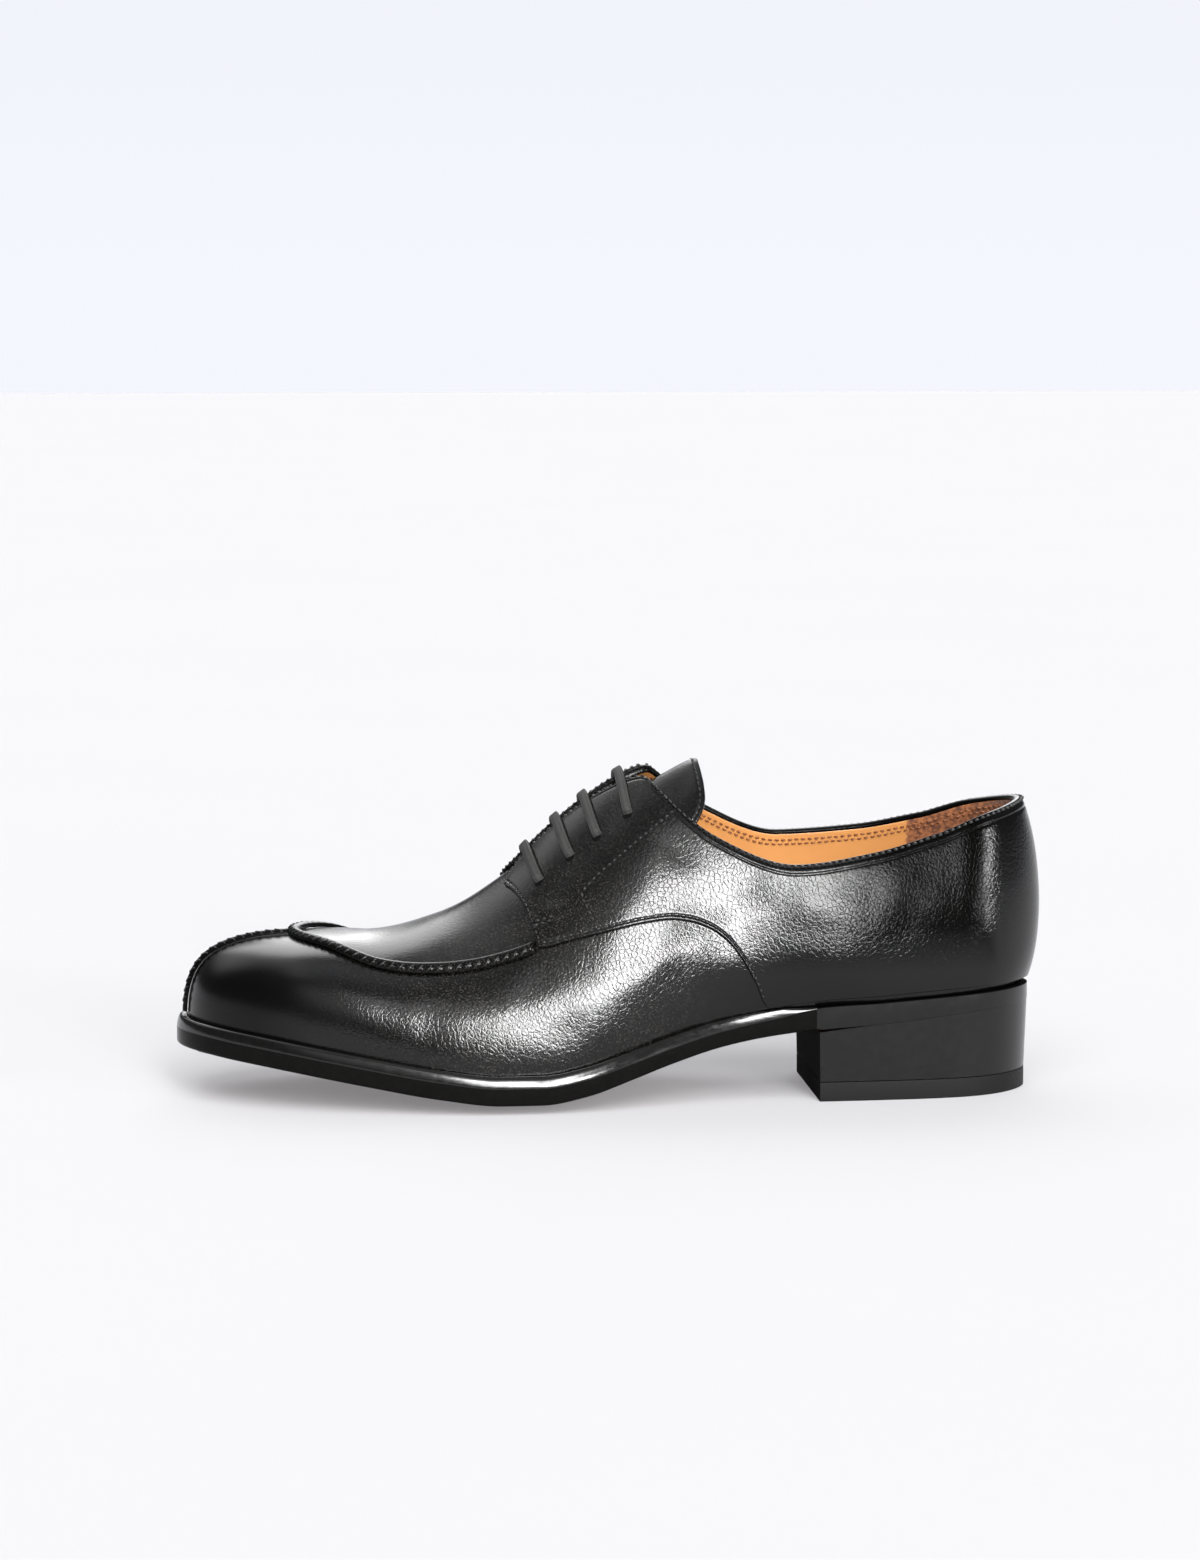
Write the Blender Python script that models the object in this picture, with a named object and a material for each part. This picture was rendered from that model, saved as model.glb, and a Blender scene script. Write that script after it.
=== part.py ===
"""Left apron toe derby as an assembly of closed solids. Toe towards -X, outer side towards -Y, sizes in mm."""
import math
from collections import namedtuple

import bmesh
import bpy
import numpy as np

for item in list(bpy.data.objects):
    bpy.data.objects.remove(item)

# Driving sizes
MM = 0.001
WALL = 2.0
OVERLAY = 1.4
GAP = 0.3
LACE_WIDTH = 3.3
LACE_THICK = 1.7
INSOLE_THICK = 3.5
TOP_LIFT = 7.0
BREAST_X = 70.0
FLAT_SHARE = 0.55
CENTRE = (0.6, -1.35, 0.0)
SHARP_ANGLE = math.radians(40.0)
LATERAL, MEDIAL = -1.0, 1.0

# The upper's edge on the sole, seen from above: half widths on either side of the long axis
Edge = namedtuple("Edge", "x lateral medial")
TOE_TIP = (-147.0, 3.0)
HEEL_TIP = (146.0, 0.0)
FEATHER = (
    Edge(-141.0, 15.0, 21.5),
    Edge(-128.0, 28.0, 33.5),
    Edge(-108.0, 39.0, 41.0),
    Edge(-84.0, 45.0, 45.0),
    Edge(-58.0, 48.5, 46.5),
    Edge(-34.0, 49.0, 44.0),
    Edge(-8.0, 46.0, 38.0),
    Edge(18.0, 39.5, 31.0),
    Edge(45.0, 34.2, 27.5),
    Edge(75.0, 33.2, 28.8),
    Edge(107.0, 31.0, 31.6),
    Edge(128.5, 25.2, 26.0),
    Edge(141.0, 14.0, 14.5),
)

# The sole along its length: underside at the middle, lift of its edge, edge thickness, welt and rim
Sole = namedtuple("Sole", "x bottom edge_rise thick welt rim")
SOLE = (
    Sole(-151.0, 17.0, 1.2, 6.0, 3.7, 4.0),
    Sole(-130.0, 14.2, 2.2, 6.0, 3.7, 4.2),
    Sole(-108.0, 10.4, 3.0, 6.0, 3.7, 4.5),
    Sole(-85.0, 6.2, 3.2, 6.0, 3.7, 4.8),
    Sole(-62.0, 2.3, 3.2, 6.0, 3.7, 5.0),
    Sole(-41.0, 0.0, 3.2, 6.0, 3.7, 5.0),
    Sole(-27.0, 0.0, 3.2, 6.0, 3.7, 5.0),
    Sole(-12.0, 2.4, 3.2, 6.0, 3.7, 5.0),
    Sole(4.0, 7.6, 3.0, 5.8, 3.7, 4.6),
    Sole(18.0, 12.6, 2.6, 5.6, 3.7, 4.0),
    Sole(36.0, 18.2, 2.0, 5.5, 3.5, 3.5),
    Sole(54.0, 22.0, 1.4, 5.9, 2.9, 3.0),
    Sole(72.0, 24.6, 0.8, 7.6, 1.4, 2.4),
    Sole(92.0, 26.8, 0.0, 7.2, 1.4, 2.0),
    Sole(149.0, 31.0, 0.0, 5.6, 1.4, 2.2),
)

# Sections of the last from toe to heel: base point and turn of the section, wall handles, ridge and collar
Section = namedtuple("Section", "x turn flare_lat flare_med rise crest pull collar_lat collar_med")
SECTIONS = (
    Section(-85.0, 0.0, 3.0, 3.0, 30.5, 56.5, 47.0, 150.0, 150.0),
    Section(-85.0, 45.0, 4.0, 4.0, 31.0, 56.5, 39.5, 150.0, 150.0),
    Section(-85.0, 90.0, 6.0, 5.0, 32.0, 56.5, 27.0, 150.0, 150.0),
    Section(-60.0, 90.0, 6.0, 5.0, 31.0, 62.5, 24.0, 150.0, 150.0),
    Section(-37.0, 90.0, 6.0, 5.0, 31.0, 76.0, 22.0, 150.0, 150.0),
    Section(-20.0, 90.0, 7.5, 5.0, 31.0, 92.0, 21.0, 150.0, 150.0),
    Section(0.0, 90.0, 11.0, 6.0, 32.0, 107.5, 21.0, 130.0, 130.0),
    Section(15.0, 90.0, 15.0, 7.0, 32.0, 115.5, 20.0, 107.6, 112.5),
    Section(35.0, 90.0, 18.0, 8.0, 32.0, 121.5, 19.0, 90.8, 97.4),
    Section(62.0, 90.0, 19.0, 9.0, 31.0, 127.0, 21.0, 81.4, 87.4),
    Section(90.0, 90.0, 13.5, 12.0, 29.0, 130.0, 20.0, 85.0, 88.8),
    Section(114.0, 90.0, 11.0, 13.0, 28.0, 130.0, 19.0, 91.4, 93.0),
    Section(114.0, 135.0, 17.0, 18.0, 28.0, 130.0, 28.0, 98.2, 98.6),
    Section(114.0, 180.0, 23.0, 23.0, 29.0, 130.0, 34.0, 101.3, 101.3),
)
FIRST_SQUARE = 2
LAST_SQUARE = 11
TURN_PACE = 25.0

# The middle line from above, the apron seam, the throat, the quarter's lower edge and the tongue
Middle = namedtuple("Middle", "x y")
MIDDLE = (Middle(-150.0, 3.0), Middle(-85.0, 2.0), Middle(-30.0, 0.0), Middle(150.0, 0.0))
APRON_TIP = (-110.0, 2.4)
APRON = (
    Edge(-107.5, 9.0, 13.0),
    Edge(-102.5, 16.5, 20.5),
    Edge(-95.5, 23.5, 27.0),
    Edge(-87.0, 29.0, 32.0),
    Edge(-75.0, 32.5, 34.5),
    Edge(-60.0, 34.5, 35.0),
    Edge(-45.0, 35.3, 34.8),
    Edge(-28.0, 35.6, 34.2),
    Edge(-10.0, 35.6, 33.5),
)
THROAT = (
    Edge(-31.0, 0.0, 0.0),
    Edge(-27.0, 3.0, 2.0),
    Edge(-10.0, 4.5, 3.2),
    Edge(5.0, 7.5, 4.6),
    Edge(20.0, 12.0, 7.5),
)
FACING_FRONT_X = -37.0
FACING_CORNER_X = -26.0
FACING_LEAN_COLUMNS = 2.2
FACING_ROUNDING = (0.11, 0.055, 0.02, 0.004)
Wing = namedtuple("Wing", "x z")
WING = (
    Wing(-26.0, 55.0),
    Wing(-17.0, 57.2),
    Wing(-3.5, 60.4),
    Wing(10.5, 63.4),
    Wing(18.0, 64.2),
    Wing(25.0, 63.4),
    Wing(32.0, 60.8),
    Wing(38.0, 56.4),
    Wing(43.0, 50.0),
    Wing(47.5, 42.0),
    Wing(51.5, 34.0),
)
Tongue = namedtuple("Tongue", "x depth half_width")
TONGUE = (
    Tongue(-47.0, 2.6, 17.0),
    Tongue(-30.0, 2.8, 20.0),
    Tongue(-12.0, 5.4, 22.0),
    Tongue(8.0, 6.8, 24.0),
    Tongue(18.0, 5.4, 29.0),
    Tongue(30.0, 3.6, 33.0),
)
TONGUE_THICK = 1.8
TONGUE_TIP_SWEEP = 2.0
TONGUE_CORNER = 36.0
Bar = namedtuple("Bar", "crest_x eyelet_x eyelet_z")
LACE_BARS = (
    Bar(-27.6, -25.2, 76.0),
    Bar(-17.2, -14.6, 84.4),
    Bar(-7.6, -5.2, 91.4),
    Bar(4.4, 5.4, 98.8),
)
# Raised seams: distance from the seam's line and height over the leather
Roll = namedtuple("Roll", "offset height")
APRON_ROLL = (Roll(-2.3, 0.7), Roll(-1.3, 1.8), Roll(0.0, 2.2), Roll(1.3, 1.8), Roll(2.3, 0.7))
TOE_ROLL = (Roll(-1.7, 0.6), Roll(-0.9, 1.3), Roll(0.0, 1.6), Roll(0.9, 1.3), Roll(1.7, 0.6))

# Columns of the grids along the shoe, finer where the edges turn
Span = namedtuple("Span", "start stop columns")
UPPER_SPANS = (
    Span(-78.0, -37.0, 6),
    Span(-37.0, -21.0, 4),
    Span(-21.0, 0.0, 3),
    Span(0.0, 21.0, 5),
    Span(21.0, 44.0, 4),
    Span(44.0, 114.0, 7),
)
QUARTER_SPANS = (
    Span(-37.0, -28.0, 3),
    Span(-28.0, -10.0, 3),
    Span(-10.0, 3.0, 2),
    Span(3.0, 19.0, 4),
    Span(19.0, 34.0, 3),
    Span(34.0, 55.0, 6),
    Span(55.0, 114.0, 6),
)
TOE_COLUMNS = 11
HEEL_COLUMNS = 8
UPPER_ROWS = 12
QUARTER_ROWS = 9


def column(table, name):
    return np.array([getattr(row, name) for row in table], float)


def through(xs, ys, where):
    """Smooth curve through a table's values that never overshoots them."""
    where = np.clip(np.asarray(where, float), xs[0], xs[-1])
    step = np.diff(xs)
    slope = np.diff(ys) / step
    before, after = slope[:-1], slope[1:]
    same = before * after > 0
    tangent = np.zeros(len(xs))
    tangent[1:-1][same] = 2 * before[same] * after[same] / (before + after)[same]
    k = np.clip(np.searchsorted(xs, where, side="right") - 1, 0, len(step) - 1)
    s = (where - xs[k]) / step[k]
    rise = ys[k + 1] - ys[k]
    bend = tangent[k] * step[k] * s * (1 - s) ** 2 - tangent[k + 1] * step[k] * s ** 2 * (1 - s)
    return ys[k] + rise * s * s * (3 - 2 * s) + bend


def look_up(table, name, where):
    return through(column(table, table[0]._fields[0]), column(table, name), where)


def spline(points, closed, count):
    """Even cubic curve through points seen from above."""
    points = np.array(points, float)
    if closed:
        points = np.vstack([points, points[:1]])
    chord = np.concatenate([[0.0], np.cumsum(np.linalg.norm(np.diff(points, axis=0), axis=1) ** 0.75)])
    n = len(points)
    step = np.diff(chord)
    matrix = np.eye(n)
    right = np.zeros((n, 2))
    for i in range(1, n - 1):
        matrix[i, i - 1:i + 2] = (step[i], 2 * (step[i - 1] + step[i]), step[i - 1])
        right[i] = 3 * (step[i] * (points[i] - points[i - 1]) / step[i - 1]
                        + step[i - 1] * (points[i + 1] - points[i]) / step[i])
    if closed:
        matrix[0, [0, 1, n - 2]] = (2 * (step[0] + step[-1]), step[-1], step[0])
        right[0] = 3 * (step[0] * (points[0] - points[-2]) / step[-1]
                        + step[-1] * (points[1] - points[0]) / step[0])
        matrix[n - 1, 0] = -1
    else:
        for end, near, first in ((0, 1, 0), (n - 1, n - 2, n - 2)):
            matrix[end, near] = 0.5
            right[end] = 1.5 * (points[first + 1] - points[first]) / step[first]
    tangent = np.linalg.solve(matrix, right)
    where = np.linspace(0.0, chord[-1], count, endpoint=not closed)
    k = np.clip(np.searchsorted(chord, where, side="right") - 1, 0, n - 2)
    s = ((where - chord[k]) / step[k])[:, None]
    h = step[k][:, None]
    return (points[k] * (1 + 2 * s) * (1 - s) ** 2 + points[k + 1] * s ** 2 * (3 - 2 * s)
            + tangent[k] * h * s * (1 - s) ** 2 - tangent[k + 1] * h * s ** 2 * (1 - s))


def loop_points(tip, rows, heel):
    """Points of an outline: the toe's tip, the outer side, the heel when there is one, then the inner side."""
    outer = [(row.x, -row.lateral) for row in rows]
    inner = [(row.x, row.medial) for row in reversed(rows)]
    if heel is None:
        return list(reversed(outer)) + [tip] + list(reversed(inner))
    return [tip] + outer + [heel] + inner


FEATHER_LINE = spline(loop_points(TOE_TIP, FEATHER, HEEL_TIP), True, 1200)
APRON_LINE = spline(loop_points(APRON_TIP, APRON, None), False, 600)


def outward(line):
    """Unit directions square to a closed outline, pointing away from its inside."""
    along = np.roll(line, -1, axis=0) - np.roll(line, 1, axis=0)
    square = np.stack([-along[:, 1], along[:, 0]], axis=1)
    square /= np.linalg.norm(square, axis=1)[:, None]
    return square if np.sum(square * (line - line.mean(axis=0))) > 0 else -square


FEATHER_OUT = outward(FEATHER_LINE)


def ray(base, way, line):
    """Distance along a ray to an outline, and the place on the outline where they meet."""
    rel = line - base
    across = rel[:, 0] * way[1] - rel[:, 1] * way[0]
    ahead = rel @ way
    turn = np.nonzero((across[:-1] * across[1:] <= 0) & (ahead[:-1] > 0))[0]
    if len(turn) == 0:
        return float("nan"), 0.0
    i = turn[0]
    part = across[i] / (across[i] - across[i + 1] + 1e-12)
    return ahead[i] + part * (ahead[i + 1] - ahead[i]), i + part


STATION = np.arange(len(SECTIONS), dtype=float)
LAST_STATION = STATION[-1]
FINE = np.linspace(0.0, LAST_STATION, 521)


def at(name, u):
    return through(STATION, column(SECTIONS, name), u)


def base_x(u):
    """Place of a section along the shoe; it keeps its pace up to where the sections turn, and stays there."""
    near = slice(FIRST_SQUARE - 1, LAST_SQUARE + 2)
    xs = column(SECTIONS, "x")[near]
    xs[0] -= TURN_PACE
    xs[-1] += TURN_PACE
    return through(STATION[near], xs, np.clip(u, FIRST_SQUARE, LAST_SQUARE))


def base_turn(u):
    return np.radians(np.interp(u, STATION, column(SECTIONS, "turn")))


def middle_y(x):
    return look_up(MIDDLE, "y", x)


def reach_tables(line):
    """Distance from every section's base point to an outline, for each side."""
    tables = {}
    closed = np.vstack([line, line[:1]])
    for side in (LATERAL, MEDIAL):
        found = []
        for u in FINE:
            base = np.array([base_x(u), middle_y(base_x(u))])
            way = np.array([-math.cos(base_turn(u)), side * math.sin(base_turn(u))])
            found.append(ray(base, way, closed if line is FEATHER_LINE else line))
        tables[side] = np.array(found)
    return tables


REACH = reach_tables(FEATHER_LINE)
APRON_REACH = reach_tables(APRON_LINE)


def by_side(side, outer, inner):
    return np.where(np.asarray(side) < 0, outer, inner)


def reach(u, side):
    return by_side(side, np.interp(u, FINE, REACH[LATERAL][:, 0]), np.interp(u, FINE, REACH[MEDIAL][:, 0]))


def sole_at(name, x):
    return look_up(SOLE, name, x)


def sole_top(x):
    return sole_at("bottom", x) + sole_at("edge_rise", x) + sole_at("thick", x)


def skin(u, t, side):
    """Outside of the vamp: u runs from toe to heel, t from the sole to the ridge, side is outer or inner."""
    u, t, side = np.broadcast_arrays(np.asarray(u, float), np.asarray(t, float), np.asarray(side, float))
    turn = base_turn(u)
    x = base_x(u)
    foot = reach(u, side)
    foot_z = sole_top(x - np.cos(turn) * foot) + GAP
    flare = np.radians(by_side(side, at("flare_lat", u), at("flare_med", u)))
    rise, crest, pull = at("rise", u), at("crest", u), at("pull", u)
    b0, b1, b2, b3 = (1 - t) ** 3, 3 * t * (1 - t) ** 2, 3 * t * t * (1 - t), t ** 3
    out = b0 * foot + b1 * (foot + rise * np.sin(flare)) + b2 * pull
    z = b0 * foot_z + b1 * (foot_z + rise * np.cos(flare)) + (b2 + b3) * crest
    return np.stack([x - np.cos(turn) * out, middle_y(x) + side * np.sin(turn) * out, z], axis=-1)


def normal(u, t, side):
    """Unit direction out of the skin."""
    u, t, side = np.broadcast_arrays(np.asarray(u, float), np.asarray(t, float), np.asarray(side, float))
    tiny = 1e-3
    low = np.minimum(t, 0.985)
    along = skin(np.minimum(u + tiny, LAST_STATION), low, side) - skin(np.maximum(u - tiny, 0.0), low, side)
    up = skin(u, np.minimum(t + tiny, 1.0), side) - skin(u, np.maximum(t - tiny, 0.0), side)
    out = np.cross(along, up) * -side[..., None]
    return out / np.linalg.norm(out, axis=-1)[..., None]


def raised(u, t, side, height):
    """Point over the skin by a height, or inside it by a negative one."""
    height = np.asarray(height, float)
    return skin(u, t, side) + normal(u, t, side) * height[..., None]


STEPS = np.linspace(0.0, 1.0, 401)


def t_at_height(u, side, z):
    return float(np.interp(z, skin(u, STEPS, side)[:, 2], STEPS))


def t_at_arc(u, side, arc):
    """Place on a section at a distance along the leather from the ridge."""
    line = skin(u, STEPS, side)
    run = np.concatenate([[0.0], np.cumsum(np.linalg.norm(np.diff(line[::-1], axis=0), axis=1))])
    return float(np.interp(arc, run, STEPS[::-1]))


def t_at_out(u, side, out):
    """Place on the upper part of a section at a distance from the section's base."""
    line = skin(u, STEPS, side)
    far = np.hypot(line[:, 0] - base_x(u), line[:, 1] - middle_y(base_x(u)))
    upper = STEPS > 0.25
    return float(np.interp(-out, -far[upper], STEPS[upper]))


def u_at_x(x):
    """Station of a square section at a place along the shoe."""
    square = (FINE >= FIRST_SQUARE) & (FINE <= LAST_SQUARE)
    return np.interp(x, base_x(FINE[square]), FINE[square])


def top_t(u, side):
    """Upper edge of the leather: the ridge in front, then the facing, then the collar."""
    x = float(base_x(u))
    collar = t_at_height(u, side, float(at("collar_lat" if side < 0 else "collar_med", u)))
    if x <= THROAT[0].x:
        return 1.0
    facing = t_at_arc(u, side, float(look_up(THROAT, "lateral" if side < 0 else "medial", x)))
    sharp = 40.0
    return min(-math.log(math.exp(-sharp * collar) + math.exp(-sharp * facing)) / sharp, facing)


# Meshes
def body(name, verts, faces, material):
    """One closed solid from points in millimetres, facing out, with touching points joined."""
    mesh = bpy.data.meshes.new(name)
    mesh.from_pydata([tuple(v) for v in (np.asarray(verts) - CENTRE) * MM], [], faces)
    work = bmesh.new()
    work.from_mesh(mesh)
    bmesh.ops.remove_doubles(work, verts=work.verts, dist=0.00005)
    bmesh.ops.dissolve_degenerate(work, edges=work.edges, dist=0.00001)
    bmesh.ops.triangulate(work, faces=work.faces)
    bmesh.ops.recalc_face_normals(work, faces=work.faces)
    work.to_mesh(mesh)
    work.free()
    mesh.shade_smooth()
    mesh.set_sharp_from_angle(angle=SHARP_ANGLE)
    thing = bpy.data.objects.new(name, mesh)
    bpy.context.collection.objects.link(thing)
    mesh.materials.append(material)
    return thing


def shell(name, outer, inner, material, around=False, top_open=None):
    """Wall between two grids of points, closed along its edges; top_open tells which top edges are free."""
    columns, rows = outer.shape[:2]
    count = columns * rows
    spans = columns if around else columns - 1
    faces = []
    for i in range(spans):
        j = (i + 1) % columns
        for k in range(rows - 1):
            a, b, c, d = i * rows + k, j * rows + k, j * rows + k + 1, i * rows + k + 1
            faces.append((a, b, c, d))
            faces.append((count + d, count + c, count + b, count + a))
        faces.append((i * rows, count + i * rows, count + j * rows, j * rows))
        if top_open is None or top_open[i]:
            top, next_top = i * rows + rows - 1, j * rows + rows - 1
            faces.append((top, next_top, count + next_top, count + top))
    if not around:
        for i in (0, columns - 1):
            for k in range(rows - 1):
                a, b = i * rows + k, i * rows + k + 1
                faces.append((a, b, count + b, count + a))
    verts = np.concatenate([outer.reshape(-1, 3), inner.reshape(-1, 3)])
    return body(name, verts, faces, material)


def sweep(name, profiles, material):
    """Solid from a closed profile carried along a path, with flat ends."""
    count, size = profiles.shape[:2]
    faces = [tuple(range(size)), tuple(range((count - 1) * size, count * size))]
    for i in range(count - 1):
        for k in range(size):
            n = (k + 1) % size
            faces.append((i * size + k, i * size + n, (i + 1) * size + n, (i + 1) * size + k))
    return body(name, profiles.reshape(-1, 3), faces, material)


def stack(name, rings, material):
    """Solid from closed rings, bottom to top; each ring goes along one side and back along the other."""
    size = len(rings[0])
    faces = []
    for i in range(len(rings) - 1):
        for k in range(size):
            n = (k + 1) % size
            faces.append((i * size + k, i * size + n, (i + 1) * size + n, (i + 1) * size + k))
    for start in (0, (len(rings) - 1) * size):
        for k in range(size // 2 - 1):
            faces.append((start + k, start + k + 1, start + size - 2 - k, start + size - 1 - k))
    return body(name, np.concatenate(rings), faces, material)


def material(name, colour, roughness):
    made = bpy.data.materials.new(name)
    made.use_nodes = True
    shader = made.node_tree.nodes["Principled BSDF"]
    shader.inputs["Base Color"].default_value = (*colour, 1.0)
    shader.inputs["Roughness"].default_value = roughness
    shader.inputs["Metallic"].default_value = 0.0
    return made


CALF = material("black_calf", (0.012, 0.012, 0.013), 0.3)
SOLE_LEATHER = material("sole_leather", (0.02, 0.019, 0.018), 0.45)
HEEL_LEATHER = material("heel_leather", (0.018, 0.017, 0.016), 0.45)
HEEL_RUBBER = material("heel_rubber", (0.014, 0.014, 0.014), 0.7)
TAN_LINING = material("tan_lining", (0.46, 0.2, 0.07), 0.6)
WAXED_LACE = material("waxed_lace", (0.02, 0.02, 0.021), 0.6)


# The upper
def along_spans(spans):
    """Stations of a grid's columns through a table of spans, then round the heel to its middle."""
    xs = [np.linspace(span.start, span.stop, span.columns, endpoint=False) for span in spans]
    along = u_at_x(np.concatenate(xs + [[spans[-1].stop]]))
    return np.concatenate([along, np.linspace(LAST_SQUARE, LAST_STATION, HEEL_COLUMNS)[1:]])


stations = np.concatenate([np.linspace(0.0, FIRST_SQUARE, TOE_COLUMNS), along_spans(UPPER_SPANS)])
ring = [(u, LATERAL) for u in stations] + [(u, MEDIAL) for u in stations[-2:0:-1]]
fractions = np.linspace(0.0, 1.0, UPPER_ROWS)
ring_u = np.array([u for u, side in ring])
ring_side = np.array([side for u, side in ring])
ring_top = np.array([top_t(u, side) for u, side in ring])
ring_t = ring_top[:, None] * fractions[None, :]
ring_grid = (ring_u[:, None], ring_t, ring_side[:, None])
free = [ring_top[i] < 1.0 or ring_top[(i + 1) % len(ring)] < 1.0 for i in range(len(ring))]
shell("upper", skin(*ring_grid), raised(*ring_grid, -WALL), CALF, around=True, top_open=free)


# The quarters
def quarter(side):
    """One quarter laid over the upper, from the facing's front edge to the middle of the heel."""
    high = along_spans(QUARTER_SPANS)
    high[-1] -= 0.006
    shift = (FACING_CORNER_X - FACING_FRONT_X) * np.exp(-np.arange(len(high)) / FACING_LEAN_COLUMNS)
    low_x = np.minimum(base_x(high) + shift, QUARTER_SPANS[-1].stop)
    low = np.where(high < 11.0, u_at_x(low_x), high)
    share = np.linspace(0.0, 1.0, QUARTER_ROWS)
    columns_u, columns_t = [], []
    for k, (u_high, u_low) in enumerate(zip(high, low)):
        x_low = float(base_x(u_low))
        foot_x = float(skin(u_low, 0.0, side)[0])
        welt_top = float(sole_top(foot_x)) + float(sole_at("welt", foot_x)) + 1.2
        edge_z = float(look_up(WING, "z", x_low)) if x_low < WING[-1].x else 0.0
        edge_z = max(edge_z, welt_top)
        t_low = t_at_height(u_low, side, edge_z)
        t_high = top_t(max(u_high, u_at_x(-26.5)), side)
        if k < len(FACING_ROUNDING):
            t_high -= FACING_ROUNDING[k]
        columns_u.append(u_low + (u_high - u_low) * share)
        columns_t.append(t_low + (t_high - t_low) * share)
    grid = (np.array(columns_u), np.array(columns_t), side)
    name = "quarter_lateral" if side < 0 else "quarter_medial"
    shell(name, raised(*grid, GAP + OVERLAY), raised(*grid, GAP), CALF)


quarter(LATERAL)
quarter(MEDIAL)


# Raised seams
def apron_t(u, side):
    out = np.interp(u, FINE, APRON_REACH[side][:, 0])
    return t_at_out(u, side, float(out))


def speed(u, t, side):
    """Millimetres of leather for a unit step in t and in u."""
    tiny = 1e-3
    up = np.linalg.norm(skin(u, t + tiny, side) - skin(u, t - tiny, side)) / (2 * tiny)
    step = tiny if u < tiny else 0.0
    along = np.linalg.norm(skin(u + tiny + step, t, side) - skin(u - tiny + step, t, side)) / (2 * tiny)
    return up, along


def apron_seam():
    side_run = np.concatenate([u_at_x(np.linspace(-28.0, -85.0, 10)), np.linspace(2.0, 0.0, 13)[1:]])
    run = [(u, LATERAL) for u in side_run] + [(u, MEDIAL) for u in side_run[-2::-1]]
    us, ts, sides = [], [], []
    for u, side in run:
        t = apron_t(u, side)
        up = speed(u, t, side)[0]
        ts.append([t + roll.offset / up for roll in APRON_ROLL])
        us.append([u] * len(APRON_ROLL))
        sides.append([side] * len(APRON_ROLL))
    grid = (np.array(us), np.array(ts), np.array(sides))
    height = np.array([roll.height for roll in APRON_ROLL])[None, :] * np.ones((len(run), 1)) + GAP
    shell("apron_seam", raised(*grid, height), raised(*grid, GAP), CALF)


def toe_seam():
    foot_x = float(skin(0.0, 0.0, LATERAL)[0])
    start = t_at_height(0.0, LATERAL, float(sole_top(foot_x) + sole_at("welt", foot_x)) + 1.0)
    stop = apron_t(0.0, LATERAL) - (APRON_ROLL[-1].offset + 0.5) / speed(0.0, apron_t(0.0, LATERAL), LATERAL)[0]
    us, ts, sides = [], [], []
    for t in np.linspace(start, stop, 14):
        along = speed(0.0, t, LATERAL)[1]
        us.append([abs(roll.offset) / along for roll in TOE_ROLL])
        ts.append([t] * len(TOE_ROLL))
        sides.append([LATERAL if roll.offset <= 0 else MEDIAL for roll in TOE_ROLL])
    grid = (np.array(us), np.array(ts), np.array(sides))
    height = np.array([roll.height for roll in TOE_ROLL])[None, :] * np.ones((len(ts), 1)) + GAP
    shell("toe_seam", raised(*grid, height), raised(*grid, GAP), CALF)


apron_seam()
toe_seam()


# The tongue
def tongue():
    share = np.linspace(-1.0, 1.0, 13)
    us, ts, sides, depth = [], [], [], []
    for part in np.linspace(0.0, 1.0, 13):
        row_u, row_t, row_side, row_depth = [], [], [], []
        for s in share:
            tip = TONGUE[-1].x + TONGUE_TIP_SWEEP * math.sin(math.pi / 2 * min(abs(s) * 1.4, 1.0)) ** 2
            tip -= TONGUE_CORNER * max(abs(s) - 0.7, 0.0) ** 2
            x = TONGUE[0].x + (tip - TONGUE[0].x) * part
            side = LATERAL if s <= 0 else MEDIAL
            u = float(u_at_x(x))
            width = float(look_up(TONGUE, "half_width", x))
            row_u.append(u)
            row_t.append(t_at_arc(u, side, abs(s) * width))
            row_side.append(side)
            row_depth.append(float(look_up(TONGUE, "depth", x)))
        us.append(row_u)
        ts.append(row_t)
        sides.append(row_side)
        depth.append(row_depth)
    grid = (np.array(us), np.array(ts), np.array(sides))
    depth = np.array(depth)
    shell("tongue", raised(*grid, -depth), raised(*grid, -depth - TONGUE_THICK), CALF)


tongue()


# The lace bars
def lace_bar(name, bar):
    """Flat lace lying over both facings, from eyelet to eyelet."""
    lift = GAP + OVERLAY + GAP + LACE_THICK / 2
    path, outs = [], []
    for s in np.linspace(-1.0, 1.0, 13):
        side = LATERAL if s <= 0 else MEDIAL
        u_end = float(u_at_x(bar.eyelet_x))
        end = skin(u_end, np.linspace(t_at_height(u_end, side, bar.eyelet_z), 1.0, 200), side)
        reach_down = np.linalg.norm(np.diff(end, axis=0), axis=1).sum()
        u = float(u_at_x(bar.crest_x + (bar.eyelet_x - bar.crest_x) * s * s))
        t = t_at_arc(u, side, abs(s) * reach_down)
        path.append(raised(u, t, side, lift))
        outs.append(normal(u, t, side))
    path, outs = np.array(path), np.array(outs)
    along = np.gradient(path, axis=0)
    along /= np.linalg.norm(along, axis=1)[:, None]
    across = np.cross(along, outs)
    across /= np.linalg.norm(across, axis=1)[:, None]
    lift_way = np.cross(across, along)
    angles = np.linspace(0.0, 2 * math.pi, 8, endpoint=False) + math.pi / 8
    profiles = np.array([path + across * math.cos(a) * LACE_WIDTH / 2 + lift_way * math.sin(a) * LACE_THICK / 2
                         for a in angles])
    sweep(name, profiles.transpose(1, 0, 2), WAXED_LACE)


for number, bar in enumerate(LACE_BARS, 1):
    lace_bar(f"lace_bar_{number}", bar)


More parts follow.
